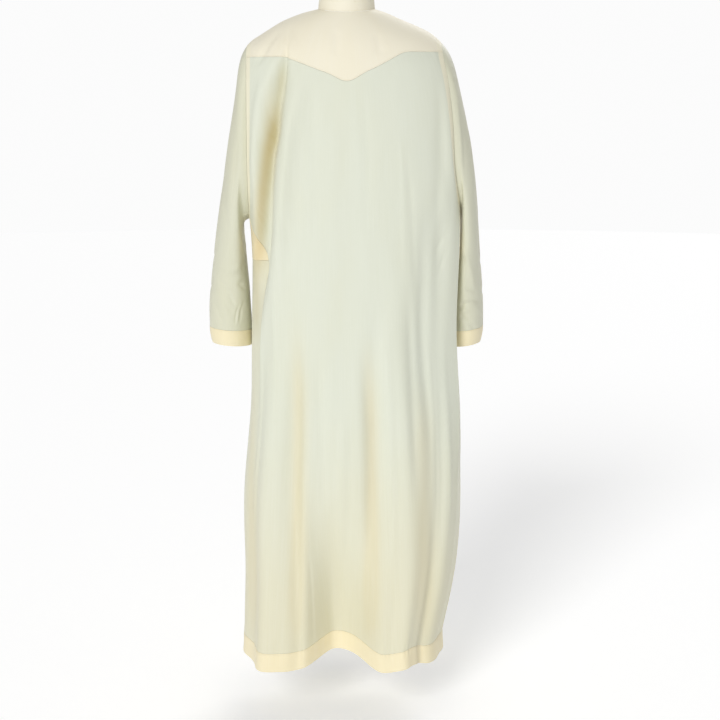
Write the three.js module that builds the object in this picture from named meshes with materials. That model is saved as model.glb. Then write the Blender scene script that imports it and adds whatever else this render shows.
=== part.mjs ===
// A thobe: an ankle-length robe with a pointed back yoke, a band collar, a button placket,
// deep armholes with underarm gussets, side gores, and turned hems at the sleeves and the skirt.
// It keeps the shape it takes when it is worn, hollow, with the arms down.
//
// Units are millimetres. +Z is up, -Y is the front of the robe and +X is its left side.
// The origin is the middle of the shoulder line, where the shoulders carry the robe.
//
// Every piece of cloth is a grid of points with a wall round them. Neighbouring pieces share
// their seam points, so their walls are mitred against each other with SEAM_GAP between them.
import * as THREE from "three";

// ---------------------------------------------------------------- driving dimensions
const CLOTH = 1.4; // wall of one layer of cloth
const DOUBLE = 2.0; // wall where the cloth is doubled: yoke, collar, placket and hems
const SEAM_GAP = 0.4; // between two walls, along the cloth
const LAID_GAP = 0.3; // between a wall and what lies on it

const YOKE_TIP = -118; // height of the yoke's point at the centre back
const YOKE_CORNER = { left: -70, right: -60 }; // height where its back seam meets the armhole
const YOKE_FRONT_CORNER = -84;
const YOKE_FRONT_AT_NECK = 116; // degrees round the neck, from the centre back
const GUSSET_CORNER = { left: -385, right: -358 }; // where back panel, gusset and sleeve meet
const GUSSET_BOTTOM = -482;
const HEM_SEAM = -1303;
const HEM_DEPTH = 40;
const CUFF_DEPTH = 34;
const COLLAR_HEIGHT = 28;
const COLLAR_LEAN = 0.055; // share of the neck's size that the collar loses at its top
const COLLAR_LAP = 18; // degrees of the neck that its left end laps over its right one
const SLIT_WIDTH = 1.2;
const PLACKET_WIDTH = 32;
const PLACKET_TOP_GAP = 5; // below the neck seam
const BUTTON = { radius: 5.6, thick: 2.2, bevel: 0.5, hole: 0.9, holeCircle: 1.9 };
const BUTTON_HEIGHTS = [-78, -162, -246, -330];

// The trunk's rings, from the neck seam down. side, back and front are the heights of the ring
// there; left, right, aft and fore are its reach from the origin line; square is the power of
// its outline, 2 for an ellipse and more for a squarer one.
const RINGS = [
  { side: 27, back: 19, front: -50, left: 60, right: 55, aft: 60, fore: 52, square: 2.0 },
  { side: 20, back: 8, front: -61, left: 88, right: 76, aft: 69, fore: 60, square: 2.0 },
  { side: 7, back: -9, front: -77, left: 124, right: 106, aft: 81, fore: 69, square: 2.05 },
  { side: -8, back: -27, front: -94, left: 152, right: 142, aft: 91, fore: 77, square: 2.1 },
  { side: -24, back: -46, front: -111, left: 178, right: 173, aft: 100, fore: 84, square: 2.2 },
  { side: -42, back: -66, front: -128, left: 203, right: 193, aft: 107, fore: 90, square: 2.3 },
  { side: -60, back: -85, front: -144, left: 214, right: 207, aft: 113, fore: 96, square: 2.4 },
  { side: -80, back: -104, front: -160, left: 219, right: 215, aft: 118, fore: 100, square: 2.45 },
  { side: -116, back: -136, front: -186, left: 222, right: 222, aft: 126, fore: 106, square: 2.5 },
  { side: -166, back: -180, front: -222, left: 223, right: 227, aft: 133, fore: 112, square: 2.5 },
  { side: -225, back: -232, front: -266, left: 223, right: 231, aft: 138, fore: 118, square: 2.5 },
  { side: -290, back: -293, front: -318, left: 220, right: 232, aft: 141, fore: 124, square: 2.5 },
  { side: -350, back: -350, front: -366, left: 213, right: 226, aft: 143, fore: 129, square: 2.5 },
  { side: -410, back: -410, front: -418, left: 205, right: 216, aft: 144, fore: 133, square: 2.5 },
  { side: -482, back: -482, front: -484, left: 201, right: 212, aft: 145, fore: 137, square: 2.5 },
  { side: -574, back: -574, front: -574, left: 202, right: 211, aft: 146, fore: 140, square: 2.5 },
  { side: -668, back: -668, front: -668, left: 205, right: 214, aft: 148, fore: 142, square: 2.45 },
  { side: -760, back: -760, front: -760, left: 206, right: 226, aft: 151, fore: 144, square: 2.45 },
  { side: -857, back: -857, front: -857, left: 212, right: 237, aft: 155, fore: 148, square: 2.45 },
  { side: -950, back: -950, front: -950, left: 219, right: 239, aft: 160, fore: 152, square: 2.5 },
  { side: -1040, back: -1040, front: -1040, left: 222, right: 237, aft: 165, fore: 156, square: 2.5 },
  { side: -1130, back: -1130, front: -1130, left: 219, right: 231, aft: 170, fore: 160, square: 2.5 },
  { side: -1220, back: -1220, front: -1220, left: 220, right: 216, aft: 175, fore: 164, square: 2.5 },
  { side: -1303, back: -1303, front: -1303, left: 222, right: 198, aft: 179, fore: 168, square: 2.5 },
];

// The trunk's large folds. Angles are degrees round the trunk from the centre back, positive to
// the left. from and to are heights, fade is how far the fold takes to start and to end, angle,
// half (its half width in degrees) and depth (outwards) are its values at the start and the end.
const FOLDS = [
  { name: "blade valley", from: -45, to: -640, fade: [120, 220],
    angle: [29, 68], half: [9, 11], depth: [-13, -36] },
  { name: "blade ridge", from: -70, to: -660, fade: [120, 240],
    angle: [18, 50], half: [9, 11], depth: [5, 12] },
  { name: "left lobe", from: -560, to: -1400, fade: [260, 0],
    angle: [44, 47], half: [13, 16], depth: [6, 20] },
  { name: "left groove", from: -560, to: -1400, fade: [300, 0],
    angle: [29, 25], half: [7, 7], depth: [-8, -16] },
  { name: "centre recess", from: -800, to: -1400, fade: [460, 0],
    angle: [5, 4], half: [22, 23], depth: [-4, -112] },
  { name: "centre groove", from: -560, to: -1200, fade: [260, 200],
    angle: [-9, -13], half: [6, 6], depth: [-9, -12] },
  { name: "right pipe", from: -420, to: -1400, fade: [300, 0],
    angle: [-21, -31], half: [10, 11], depth: [5, 14] },
  { name: "right hollow", from: -300, to: -1400, fade: [300, 0],
    angle: [-41, -50], half: [11, 9], depth: [-6, -12] },
  { name: "armhole roll", from: -90, to: -460, fade: [90, 140],
    angle: [-59, -62], half: [9, 10], depth: [4, 10] },
  { name: "right edge", from: -280, to: -980, fade: [180, 280],
    angle: [-74, -76], half: [18, 18], depth: [30, 12] },
  { name: "left side roll", from: -760, to: -1400, fade: [240, 0],
    angle: [88, 84], half: [14, 14], depth: [3, 8] },
  { name: "left side groove", from: -700, to: -1400, fade: [240, 0],
    angle: [108, 110], half: [10, 10], depth: [-5, -14] },
  { name: "left front pipe", from: -380, to: -1400, fade: [300, 0],
    angle: [135, 131], half: [11, 12], depth: [5, 16] },
  { name: "left front groove", from: -400, to: -1400, fade: [300, 0],
    angle: [152, 152], half: [9, 9], depth: [-6, -20] },
  { name: "front pipe", from: -460, to: -1400, fade: [300, 0],
    angle: [176, 173], half: [13, 14], depth: [4, 12] },
  { name: "right front groove", from: -420, to: -1400, fade: [300, 0],
    angle: [-158, -160], half: [9, 9], depth: [-7, -22] },
  { name: "right front pipe", from: -420, to: -1400, fade: [300, 0],
    angle: [-138, -137], half: [11, 12], depth: [5, 15] },
  { name: "right side groove", from: -760, to: -1400, fade: [260, 0],
    angle: [-112, -116], half: [11, 10], depth: [-5, -16] },
  { name: "right side roll", from: -800, to: -1400, fade: [240, 0],
    angle: [-92, -90], half: [13, 13], depth: [3, 9] },
];

// How far the hem is lifted where the skirt is drawn in, and dropped at a lobe.
const HEM_LIFTS = [
  { angle: 4, half: 24, lift: 24 },
  { angle: 48, half: 26, lift: -4 },
  { angle: -36, half: 22, lift: 12 },
  { angle: 164, half: 40, lift: 8 },
];

// The plane of each armhole: how far from the middle it is, by height.
const ARMHOLE = {
  left: [
    { z: -40, x: 206 },
    { z: -410, x: 206 },
  ],
  right: [
    { z: -40, x: 190 },
    { z: -60, x: 193 },
    { z: -105, x: 202 },
    { z: -176, x: 209 },
    { z: -277, x: 217 },
    { z: -378, x: 222 },
  ],
};

// The sleeves' rings below the armhole. Each lies in the plane through its outer and its inner
// point: how far from the middle, how far back and how high. deep is its half size across.
const SLEEVE_RINGS = {
  left: [
    { outer: [216, 0, -62], inner: [213, 0, -403], deep: 66 },
    { outer: [224, 0, -88], inner: [219, -1, -410], deep: 67 },
    { outer: [230, 0, -128], inner: [222, -4, -430], deep: 68 },
    { outer: [238, 1, -180], inner: [221, -8, -452], deep: 68 },
    { outer: [247, 1, -236], inner: [218, -13, -476], deep: 68 },
    { outer: [256, 0, -296], inner: [215, -18, -500], deep: 67 },
    { outer: [266, -3, -356], inner: [213, -22, -524], deep: 66 },
    { outer: [275, -7, -416], inner: [211, -26, -548], deep: 64 },
    { outer: [283, -13, -475], inner: [210, -29, -572], deep: 62 },
    { outer: [290, -19, -530], inner: [209, -32, -596], deep: 59 },
    { outer: [296, -26, -582], inner: [208, -35, -618], deep: 57 },
    { outer: [297, -32, -634], inner: [208, -38, -640], deep: 55 },
  ],
  right: [
    { outer: [203, 0, -54], inner: [229, 0, -380], deep: 66 },
    { outer: [217, 0, -82], inner: [235, -1, -390], deep: 67 },
    { outer: [230, 0, -130], inner: [238, -5, -412], deep: 68 },
    { outer: [243, 0, -186], inner: [237, -11, -438], deep: 67 },
    { outer: [254, -1, -240], inner: [234, -17, -466], deep: 66 },
    { outer: [263, -3, -297], inner: [231, -22, -494], deep: 65 },
    { outer: [270, -7, -358], inner: [228, -27, -520], deep: 64 },
    { outer: [275, -12, -418], inner: [226, -31, -546], deep: 62 },
    { outer: [279, -18, -474], inner: [224, -35, -572], deep: 60 },
    { outer: [284, -24, -528], inner: [222, -38, -598], deep: 57 },
    { outer: [288, -30, -580], inner: [221, -41, -620], deep: 55 },
    { outer: [289, -35, -634], inner: [220, -44, -642], deep: 53 },
  ],
};

// The side seams' angles at the gusset's bottom and at the hem. The robe hangs turned a little.
const SIDE_SEAMS = {
  left: { back: { top: 58, hem: 62 }, front: { top: 122, hem: 119 } },
  right: { back: { top: 76, hem: 70 }, front: { top: 130, hem: 124 } },
};

// How many cells the grids have.
const HALF_BACK = 12; // from the centre back to a side seam
const YOKE_END = 4; // across the yoke where it ends at the armhole
const YOKE_ROWS = 5; // from the neck to the yoke's outer edge
const NECK_FRONT = 4; // from the front end of the yoke to the slit
const HALF_FRONT = YOKE_ROWS + NECK_FRONT;
const ARMHOLE_ROWS = 6;
const GUSSET_ROWS = 2;
const SKIRT_ROWS = 11;
const GUSSET_COLUMNS = 6;
const PLACKET_ROWS = 7;
const HEM_ROWS = 2;
const CUFF_ROWS = 2;
const COLLAR_ROWS = 2;

const COLOURS = { single: 0xdfe1cf, double: 0xf3ecd0, button: 0xe8e0c4 };

// ---------------------------------------------------------------- small helpers
const SIGNS = { left: 1, right: -1 };
const SIDES = ["left", "right"];
const { degToRad, radToDeg, clamp, lerp: mix } = THREE.MathUtils;
const smooth = (x) => THREE.MathUtils.smoothstep(x, 0, 1);
const range = (count) => Array.from({ length: count }, (_, i) => i);
const vector = (numbers) => new THREE.Vector3(...numbers);
const mixPoints = (a, b, share) => a.clone().lerp(b, share);

// A smooth curve through a column of a table, read at a fractional row.
function along(table, column, row) {
  const last = table.length - 1;
  const i = clamp(Math.floor(row), 0, last - 1);
  const [before, here, next, after] = [i - 1, i, i + 1, i + 2].map((k) => table[clamp(k, 0, last)][column]);
  const t = row - i;
  const away = 3 * t ** 2 - 2 * t ** 3;
  const leaving = (t ** 3 - 2 * t ** 2 + t) * ((next - before) / 2);
  const arriving = (t ** 3 - t ** 2) * ((after - here) / 2);
  return mix(here, next, away) + leaving + arriving;
}

// Straight lines through rows of { z, x }, from high to low.
function straight(rows, z) {
  const below = rows.findIndex((row) => row.z < z);
  const i = clamp(below === -1 ? rows.length : below, 1, rows.length - 1);
  const [high, low] = [rows[i - 1], rows[i]];
  return mix(high.x, low.x, clamp((high.z - z) / (high.z - low.z), 0, 1));
}

// The value between low and high where rising(value) turns from negative to positive.
function solve(low, high, rising) {
  for (let i = 0; i < 50; i++) {
    const middle = (low + high) / 2;
    if (rising(middle) < 0) low = middle;
    else high = middle;
  }
  return (low + high) / 2;
}

// ---------------------------------------------------------------- the trunk's surface
function ringPoint(angle, row) {
  const [s, c] = [Math.sin(degToRad(angle)), Math.cos(degToRad(angle))];
  const power = 2 / along(RINGS, "square", row);
  const wide = along(RINGS, s > 0 ? "left" : "right", row);
  const deep = along(RINGS, c > 0 ? "aft" : "fore", row);
  const end = along(RINGS, c > 0 ? "back" : "front", row);
  return new THREE.Vector3(
    Math.sign(s) * wide * Math.abs(s) ** power,
    Math.sign(c) * deep * Math.abs(c) ** power,
    mix(along(RINGS, "side", row), end, Math.abs(c) ** 1.6),
  );
}

function degreesApart(a, b) {
  const turn = (((a - b) % 360) + 360) % 360;
  return Math.min(turn, 360 - turn);
}

function foldDepth(angle, z) {
  return FOLDS.reduce((sum, fold) => {
    if (z > fold.from || z < fold.to) return sum;
    const t = (fold.from - z) / (fold.from - fold.to);
    const off = degreesApart(angle, mix(...fold.angle, t)) / mix(...fold.half, t);
    const start = smooth((fold.from - z) / fold.fade[0]);
    const end = fold.fade[1] ? smooth((z - fold.to) / fold.fade[1]) : 1;
    return sum + mix(...fold.depth, t) * smooth(1 - off) * start * end;
  }, 0);
}

// A point of the trunk, at an angle round it and a fractional ring row.
function trunkAtRow(angle, row) {
  const point = ringPoint(angle, row);
  const step = ringPoint(angle + 0.5, row).sub(ringPoint(angle - 0.5, row));
  const outwards = new THREE.Vector3(-step.y, step.x, 0).normalize();
  return point.addScaledVector(outwards, foldDepth(angle, point.z));
}

const rowAtHeight = (angle, z) => solve(0, RINGS.length - 1, (row) => z - ringPoint(angle, row).z);

// The skirt is lifted a little more towards the hem.
function trunk(angle, z) {
  const point = trunkAtRow(angle, rowAtHeight(angle, z));
  const towardsHem = smooth((-900 - z) / (-900 - HEM_SEAM));
  const lift = ({ angle: centre, half, lift }) => lift * smooth(1 - degreesApart(angle, centre) / half);
  point.z += towardsHem * HEM_LIFTS.reduce((sum, each) => sum + lift(each), 0);
  return point;
}

// The angle where a ring reaches a distance to one side, behind or before its widest place.
function angleAtReach(side, row, reach, before) {
  const ratio = clamp(reach / along(RINGS, side, row), 0, 1);
  const angle = radToDeg(Math.asin(ratio ** (along(RINGS, "square", row) / 2)));
  return SIGNS[side] * (before ? 180 - angle : angle);
}

// ---------------------------------------------------------------- seam lines
const armholeReach = (side, row) => straight(ARMHOLE[side], along(RINGS, "side", row));

// The ring rows where the armhole's plane first and last cuts the trunk's side.
function armholeSpan(side) {
  const spare = (row) => along(RINGS, side, row) - armholeReach(side, row);
  return { top: solve(2, 9, spare), bottom: solve(9, 15, (row) => -spare(row)) };
}
const SPAN = { left: armholeSpan("left"), right: armholeSpan("right") };

function armholePlace(side, row, before) {
  return { angle: angleAtReach(side, row, armholeReach(side, row), before), row };
}

const heightOf = ({ angle, row }) => ringPoint(angle, row).z;

function armholeRow(side, z, before) {
  return solve(SPAN[side].top, SPAN[side].bottom, (row) => z - heightOf(armholePlace(side, row, before)));
}

// The rows where a body panel's armhole edge starts, at the yoke, and ends, at the gusset.
function armholeEnds(side, before) {
  const top = armholeRow(side, before ? YOKE_FRONT_CORNER : YOKE_CORNER[side], before);
  return { top, bottom: armholeRow(side, GUSSET_CORNER[side], before) };
}

function armholeEdge(side, before) {
  const { top, bottom } = armholeEnds(side, before);
  return range(ARMHOLE_ROWS + 1).map((j) => armholePlace(side, mix(top, bottom, j / ARMHOLE_ROWS), before));
}

// The seam between a body panel and the gusset, then the gore: an angle for a height.
function sideSeamAngle(side, z, before) {
  const corner = armholeEdge(side, before)[ARMHOLE_ROWS];
  const seam = SIDE_SEAMS[side][before ? "front" : "back"];
  const share = (GUSSET_CORNER[side] - z) / (GUSSET_CORNER[side] - GUSSET_BOTTOM);
  if (z > GUSSET_BOTTOM) return mix(corner.angle, SIGNS[side] * seam.top, clamp(share, 0, 1) ** 0.8);
  return SIGNS[side] * mix(seam.top, seam.hem, (GUSSET_BOTTOM - z) / (GUSSET_BOTTOM - HEM_SEAM));
}

// A body panel's edge from the yoke to the hem: an angle and a height for each row.
function bodyEdge(side, before) {
  const armhole = armholeEdge(side, before).map((place) => ({ angle: place.angle, z: heightOf(place) }));
  const seam = (from, to, rows) =>
    range(rows).map((i) => {
      const z = mix(from, to, (i + 1) / rows);
      return { angle: sideSeamAngle(side, z, before), z };
    });
  const gusset = seam(armhole[ARMHOLE_ROWS].z, GUSSET_BOTTOM, GUSSET_ROWS);
  return [...armhole, ...gusset, ...seam(GUSSET_BOTTOM, HEM_SEAM, SKIRT_ROWS)];
}
const BODY_ROWS = ARMHOLE_ROWS + GUSSET_ROWS + SKIRT_ROWS + 1;
const EDGES = {
  left: { back: bodyEdge("left", false), front: bodyEdge("left", true) },
  right: { back: bodyEdge("right", false), front: bodyEdge("right", true) },
};

// How far down a body panel a row is, as a share. Its two halves meet level in the middle.
function fallOf(end, side, j, share) {
  const ofEdge = (edge) => (edge[j].z - edge[0].z) / (HEM_SEAM - edge[0].z);
  const level = (ofEdge(EDGES.left[end]) + ofEdge(EDGES.right[end])) / 2;
  return mix(level, ofEdge(EDGES[side][end]), share);
}

// The angle of a back column, from its share of the way to the side. Only the columns near the
// side follow its bends.
const columnAngle = (side, share, edgeAngle) => mix(SIGNS[side] * 60, edgeAngle, share ** 3) * share;

// The back yoke seam: level from the armhole, then falling to a point at the centre back.
function yokeSeamHeight(side, share) {
  const inwards = clamp(1 - share ** 0.8 / 0.62, 0, 1);
  return mix(YOKE_CORNER[side], YOKE_TIP, inwards ** 1.1);
}

// ---------------------------------------------------------------- grids
// A grid of points: columns run round the robe and rows run down it, or along the arm. ring
// joins the last column to the first. turned is for columns that run the other way round.
function grid(columns, rows, pointAt, { ring = false, turned = false } = {}) {
  const points = range(columns).flatMap((i) => range(rows).map((j) => pointAt(i, j)));
  const cells = range(ring ? columns : columns - 1).flatMap((i) => {
    const next = (i + 1) % columns;
    return range(rows - 1).map((j) => [
      i * rows + j, next * rows + j, next * rows + j + 1, i * rows + j + 1,
    ]);
  });
  return { points, cells: turned ? cells.map((cell) => cell.reverse()) : cells };
}

const lastPoints = ({ points }, rows) => points.filter((_, index) => index % rows === rows - 1);

// Body panels have columns from the right edge to the left one.
function backPanel() {
  return grid(2 * HALF_BACK + 1, BODY_ROWS, (i, j) => {
    const share = (i - HALF_BACK) / HALF_BACK;
    const side = share > 0 ? "left" : "right";
    const away = Math.abs(share);
    const z = mix(yokeSeamHeight(side, away), HEM_SEAM, fallOf("back", side, j, away));
    return trunk(columnAngle(side, away, EDGES[side].back[j].angle), z);
  });
}

// A place in the yoke: k counts columns from the centre back, r counts rows from the neck.
function yokePlace(side, k, r) {
  const neck = (SIGNS[side] * YOKE_FRONT_AT_NECK * k) / (HALF_BACK + YOKE_END);
  const outer = k < HALF_BACK ? yokeSeamPlace(side, k / HALF_BACK) : yokeEndPlace(side, k - HALF_BACK);
  return { angle: mix(neck, outer.angle, r / YOKE_ROWS), row: (outer.row * r) / YOKE_ROWS };
}

function yokeSeamPlace(side, share) {
  const angle = columnAngle(side, share, EDGES[side].back[0].angle);
  return { angle, row: rowAtHeight(angle, yokeSeamHeight(side, share)) };
}

// The yoke's end at the armhole, from its back corner over the shoulder to its front corner.
function yokeEndPlace(side, k) {
  const before = k > YOKE_END / 2;
  const share = Math.abs(k - YOKE_END / 2) / (YOKE_END / 2);
  return armholePlace(side, mix(SPAN[side].top, armholeEnds(side, before).top, share ** 1.4), before);
}

function yoke() {
  const half = HALF_BACK + YOKE_END;
  return grid(2 * half + 1, YOKE_ROWS + 1, (i, r) => {
    const { angle, row } = yokePlace(i > half ? "left" : "right", Math.abs(i - half), r);
    return trunkAtRow(angle, row);
  });
}

// The front's top edge: k runs along the yoke's front seam, then along the neck to the slit.
function frontTop(side, k) {
  if (k <= YOKE_ROWS) return yokePlace(side, HALF_BACK + YOKE_END, YOKE_ROWS - k);
  const share = (k - YOKE_ROWS) / (NECK_FRONT - 1);
  const beside = angleAtReach(side, 0, PLACKET_WIDTH / 2, true);
  const slit = angleAtReach(side, 0, SLIT_WIDTH / 2, true);
  return { angle: k === HALF_FRONT ? slit : mix(SIGNS[side] * YOKE_FRONT_AT_NECK, beside, share), row: 0 };
}

// Half of the front, from its armhole edge to the middle. The column before the middle runs
// beside the placket; the middle one is split above the slit's end.
function frontHalf(side) {
  const edge = EDGES[side].front;
  const middle = SIGNS[side] * 180;
  return grid(HALF_FRONT + 1, BODY_ROWS, (k, j) => {
    const top = frontTop(side, k);
    if (j === 0) return trunkAtRow(top.angle, top.row);
    const z = mix(heightOf(top), HEM_SEAM, fallOf("front", side, j, 1 - k / HALF_FRONT));
    const row = rowAtHeight(middle, z);
    if (k === HALF_FRONT) {
      const edge = j < PLACKET_ROWS ? angleAtReach(side, row, SLIT_WIDTH / 2, true) : middle;
      return trunk(edge, z);
    }
    const beside = angleAtReach(side, row, PLACKET_WIDTH / 2, true);
    const evenly = mix(edge[j].angle, middle, (HALF_FRONT - 1) / HALF_FRONT);
    const inner = mix(beside, evenly, smooth((j - PLACKET_ROWS) / 5));
    const spread = mix(edge[j].angle, inner, k / (HALF_FRONT - 1));
    const settled = k === 0 || k === HALF_FRONT - 1 ? 1 : smooth((j + 1) / ARMHOLE_ROWS);
    return trunk(mix(top.angle, spread, settled), z);
  }, { turned: side === "right" });
}

// The low end of the armhole, from the back panel round to the front panel.
function gussetTop(side, i) {
  const middle = GUSSET_COLUMNS / 2;
  const before = i > middle;
  const share = Math.abs(i - middle) / middle;
  const seamHeight = mix(SPAN[side].bottom, armholeEnds(side, before).bottom, share ** 1.5);
  const { angle, row } = armholePlace(side, seamHeight, before);
  return trunkAtRow(angle, row);
}

// A point between the two side seams of a flank, by its column.
function flankPoint(side, i, z) {
  return trunk(mix(sideSeamAngle(side, z, false), sideSeamAngle(side, z, true), i / GUSSET_COLUMNS), z);
}

function gusset(side) {
  return grid(GUSSET_COLUMNS + 1, GUSSET_ROWS + 1, (i, j) => {
    const top = gussetTop(side, i);
    return j === 0 ? top : flankPoint(side, i, mix(top.z, GUSSET_BOTTOM, j / GUSSET_ROWS));
  }, { turned: side === "right" });
}

function sideGore(side) {
  const pointAt = (i, j) => flankPoint(side, i, mix(GUSSET_BOTTOM, HEM_SEAM, j / SKIRT_ROWS));
  return grid(GUSSET_COLUMNS + 1, SKIRT_ROWS + 1, pointAt, { turned: side === "right" });
}

// The hem band hangs from the last row of every panel in turn, from the right edge of the back.
function hemBand(panels) {
  const front = {
    left: lastPoints(panels.front.left, BODY_ROWS),
    right: lastPoints(panels.front.right, BODY_ROWS),
  };
  const gores = {
    left: lastPoints(panels.gores.left, SKIRT_ROWS + 1),
    right: lastPoints(panels.gores.right, SKIRT_ROWS + 1),
  };
  const round = [
    ...lastPoints(panels.back, BODY_ROWS),
    ...gores.left.slice(1, -1),
    ...front.left,
    ...front.right.reverse().slice(1),
    ...gores.right.reverse().slice(1, -1),
  ];
  return grid(round.length, HEM_ROWS + 1, (i, j) => {
    const share = j / HEM_ROWS;
    const spread = 1 + 0.012 * share;
    const { x, y, z } = round[i];
    return new THREE.Vector3(x * spread, y * spread, z - HEM_DEPTH * share);
  }, { ring: true });
}

// ---------------------------------------------------------------- sleeves
// The armhole's points: from the shoulder down its back, under the arm and up its front.
function armholeLoop(side) {
  const onTrunk = ({ angle, row }) => trunkAtRow(angle, row);
  const shoulder = range(YOKE_END + 1).map((k) => onTrunk(yokeEndPlace(side, k)));
  const under = range(GUSSET_COLUMNS + 1).map((i) => gussetTop(side, i));
  return [
    ...shoulder.slice(0, YOKE_END / 2 + 1).reverse(),
    ...armholeEdge(side, false).slice(1).map(onTrunk),
    ...under.slice(1),
    ...armholeEdge(side, true).slice(0, -1).reverse().map(onTrunk),
    ...shoulder.slice(YOKE_END / 2 + 1, -1).reverse(),
  ];
}

function sleeveRings(side, loop) {
  const sign = SIGNS[side];
  const place = ([x, y, z]) => new THREE.Vector3(sign * x, y, z);
  const rings = SLEEVE_RINGS[side].map(({ outer, inner, deep }) => ({
    outer: place(outer),
    inner: place(inner),
    deep,
  }));
  const backs = loop.map(({ y }) => y);
  const under = loop[YOKE_END / 2 + ARMHOLE_ROWS + GUSSET_COLUMNS / 2];
  rings.unshift({ outer: loop[0], inner: under, deep: (Math.max(...backs) - Math.min(...backs)) / 2 });
  const last = rings[rings.length - 1];
  for (const row of range(CUFF_ROWS)) {
    const share = (row + 1) / CUFF_ROWS;
    const drop = new THREE.Vector3(-sign * 5 * share ** 2, -2 * share, -CUFF_DEPTH * share);
    const rise = new THREE.Vector3(0, -2 * share, -CUFF_DEPTH * share);
    rings.push({
      outer: last.outer.clone().add(drop),
      inner: last.inner.clone().add(rise),
      deep: last.deep - share,
    });
  }
  return rings;
}

// A ring's centre, the two directions across the sleeve, and its half size along each.
function sleeveFrame({ outer, inner, deep }) {
  const up = outer.clone().sub(inner).normalize();
  const aft = new THREE.Vector3(0, 1, 0).addScaledVector(up, -up.y).normalize();
  return { centre: mixPoints(outer, inner, 0.5), up, aft, high: outer.distanceTo(inner) / 2, deep };
}

function inFrame({ centre, up, aft, high, deep }, p, q) {
  return centre.clone().addScaledVector(up, p * high).addScaledVector(aft, q * deep);
}

// The sleeve starts as the armhole's own loop and turns into ellipses with even columns.
function sleeveSurface(side) {
  const loop = armholeLoop(side);
  const rings = sleeveRings(side, loop);
  const frames = rings.map(sleeveFrame);
  const [start] = frames;
  const places = loop.map((point, m) => {
    const from = point.clone().sub(start.centre);
    const [p, q] = [from.dot(start.up) / start.high, from.dot(start.aft) / start.deep];
    const evenly = (m / loop.length) * 2 * Math.PI;
    const wound = Math.atan2(q, p);
    const angle = m > 0 && wound < 0 ? wound + 2 * Math.PI : wound;
    return { angle, evenly, size: Math.hypot(p, q), rest: point.clone().sub(inFrame(start, p, q)) };
  });
  const pointAt = (m, k) => {
    const { angle, evenly, size, rest } = places[m];
    const turn = mix(angle, evenly, 0.7 * smooth(k / 8));
    const round = mix(size, 1, smooth(k / 4));
    const point = inFrame(frames[k], Math.cos(turn) * round, Math.sin(turn) * round);
    return point.addScaledVector(rest, 1 - smooth(k / 4));
  };
  return { pointAt, columns: loop.length };
}

function sleeveAndCuff(side) {
  const { pointAt, columns } = sleeveSurface(side);
  const seam = SLEEVE_RINGS[side].length;
  const options = { ring: true, turned: side === "left" };
  const sleeve = grid(columns, seam + 1, pointAt, options);
  const cuff = grid(columns, CUFF_ROWS + 1, (m, k) => pointAt(m, seam + k), options);
  return { sleeve, cuff };
}

// ---------------------------------------------------------------- collar and placket
// The neck's angles, from the right of the slit round the back to its left.
function neckAngles() {
  const half = HALF_BACK + YOKE_END;
  const front = (side) => range(NECK_FRONT).map((k) => frontTop(side, HALF_FRONT - k).angle);
  const behind = range(2 * half + 1).map((i) => ((i - half) * YOKE_FRONT_AT_NECK) / half);
  return [...front("right"), ...behind, ...front("left").reverse()];
}

// The collar stands on the neck seam. Its left end is moved out to lie over the right one.
function collar() {
  const seam = neckAngles();
  const angles = [...seam, ...[0.5, 1].map((share) => seam[seam.length - 1] + COLLAR_LAP * share)];
  return grid(angles.length, COLLAR_ROWS + 1, (i, j) => {
    const { x, y, z } = ringPoint(angles[i], 0);
    const share = 1 - j / COLLAR_ROWS;
    const lean = 1 - COLLAR_LEAN * share;
    const lapped = (DOUBLE + LAID_GAP + 0.3) * smooth((angles[i] - 168) / 12);
    const outwards = new THREE.Vector3(x, y, 0).normalize();
    const raised = z + COLLAR_HEIGHT * share + 0.5 * lapped / DOUBLE;
    return new THREE.Vector3(x * lean, y * lean, raised).addScaledVector(outwards, lapped);
  });
}

// The placket is laid on the cells beside the slit, so it uses their points.
function placket({ left, right }) {
  const rowOf = (half, column, j) => half.points[column * BODY_ROWS + j];
  const columns = [
    (j) => rowOf(left, HALF_FRONT - 1, j),
    (j) => mixPoints(rowOf(left, HALF_FRONT, j), rowOf(right, HALF_FRONT, j), 0.5),
    (j) => rowOf(right, HALF_FRONT - 1, j),
  ];
  const topShare = PLACKET_TOP_GAP / rowOf(left, HALF_FRONT, 0).distanceTo(rowOf(left, HALF_FRONT, 1));
  return grid(columns.length, PLACKET_ROWS + 1, (i, j) =>
    j === 0 ? mixPoints(columns[i](0), columns[i](1), topShare) : columns[i](j).clone());
}

// ---------------------------------------------------------------- walls
const keyOf = ({ x, y, z }) => [x, y, z].map((v) => Math.round(v * 50)).join();

// The direction out of the cloth at each point, the mean of every cell that meets there.
function sharedNormals(grids) {
  const sums = new Map();
  for (const { points, cells } of grids) {
    for (const cell of cells) {
      const [a, b, c, d] = cell.map((index) => points[index]);
      const normal = c.clone().sub(a).cross(d.clone().sub(b)).normalize();
      for (const key of [a, b, c, d].map(keyOf)) {
        sums.set(key, normal.clone().add(sums.get(key) ?? vector([0, 0, 0])));
      }
    }
  }
  for (const normal of sums.values()) normal.normalize();
  return sums;
}

// Two or more grids as one, with the points that they share joined.
function joined(grids) {
  const points = [];
  const placeOf = new Map();
  const keep = (point) => {
    const key = keyOf(point);
    if (!placeOf.has(key)) placeOf.set(key, points.push(point) - 1);
    return placeOf.get(key);
  };
  const cells = grids.flatMap((each) =>
    each.cells.map((cell) => cell.map((index) => keep(each.points[index]))),
  );
  return { points, cells };
}

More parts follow.
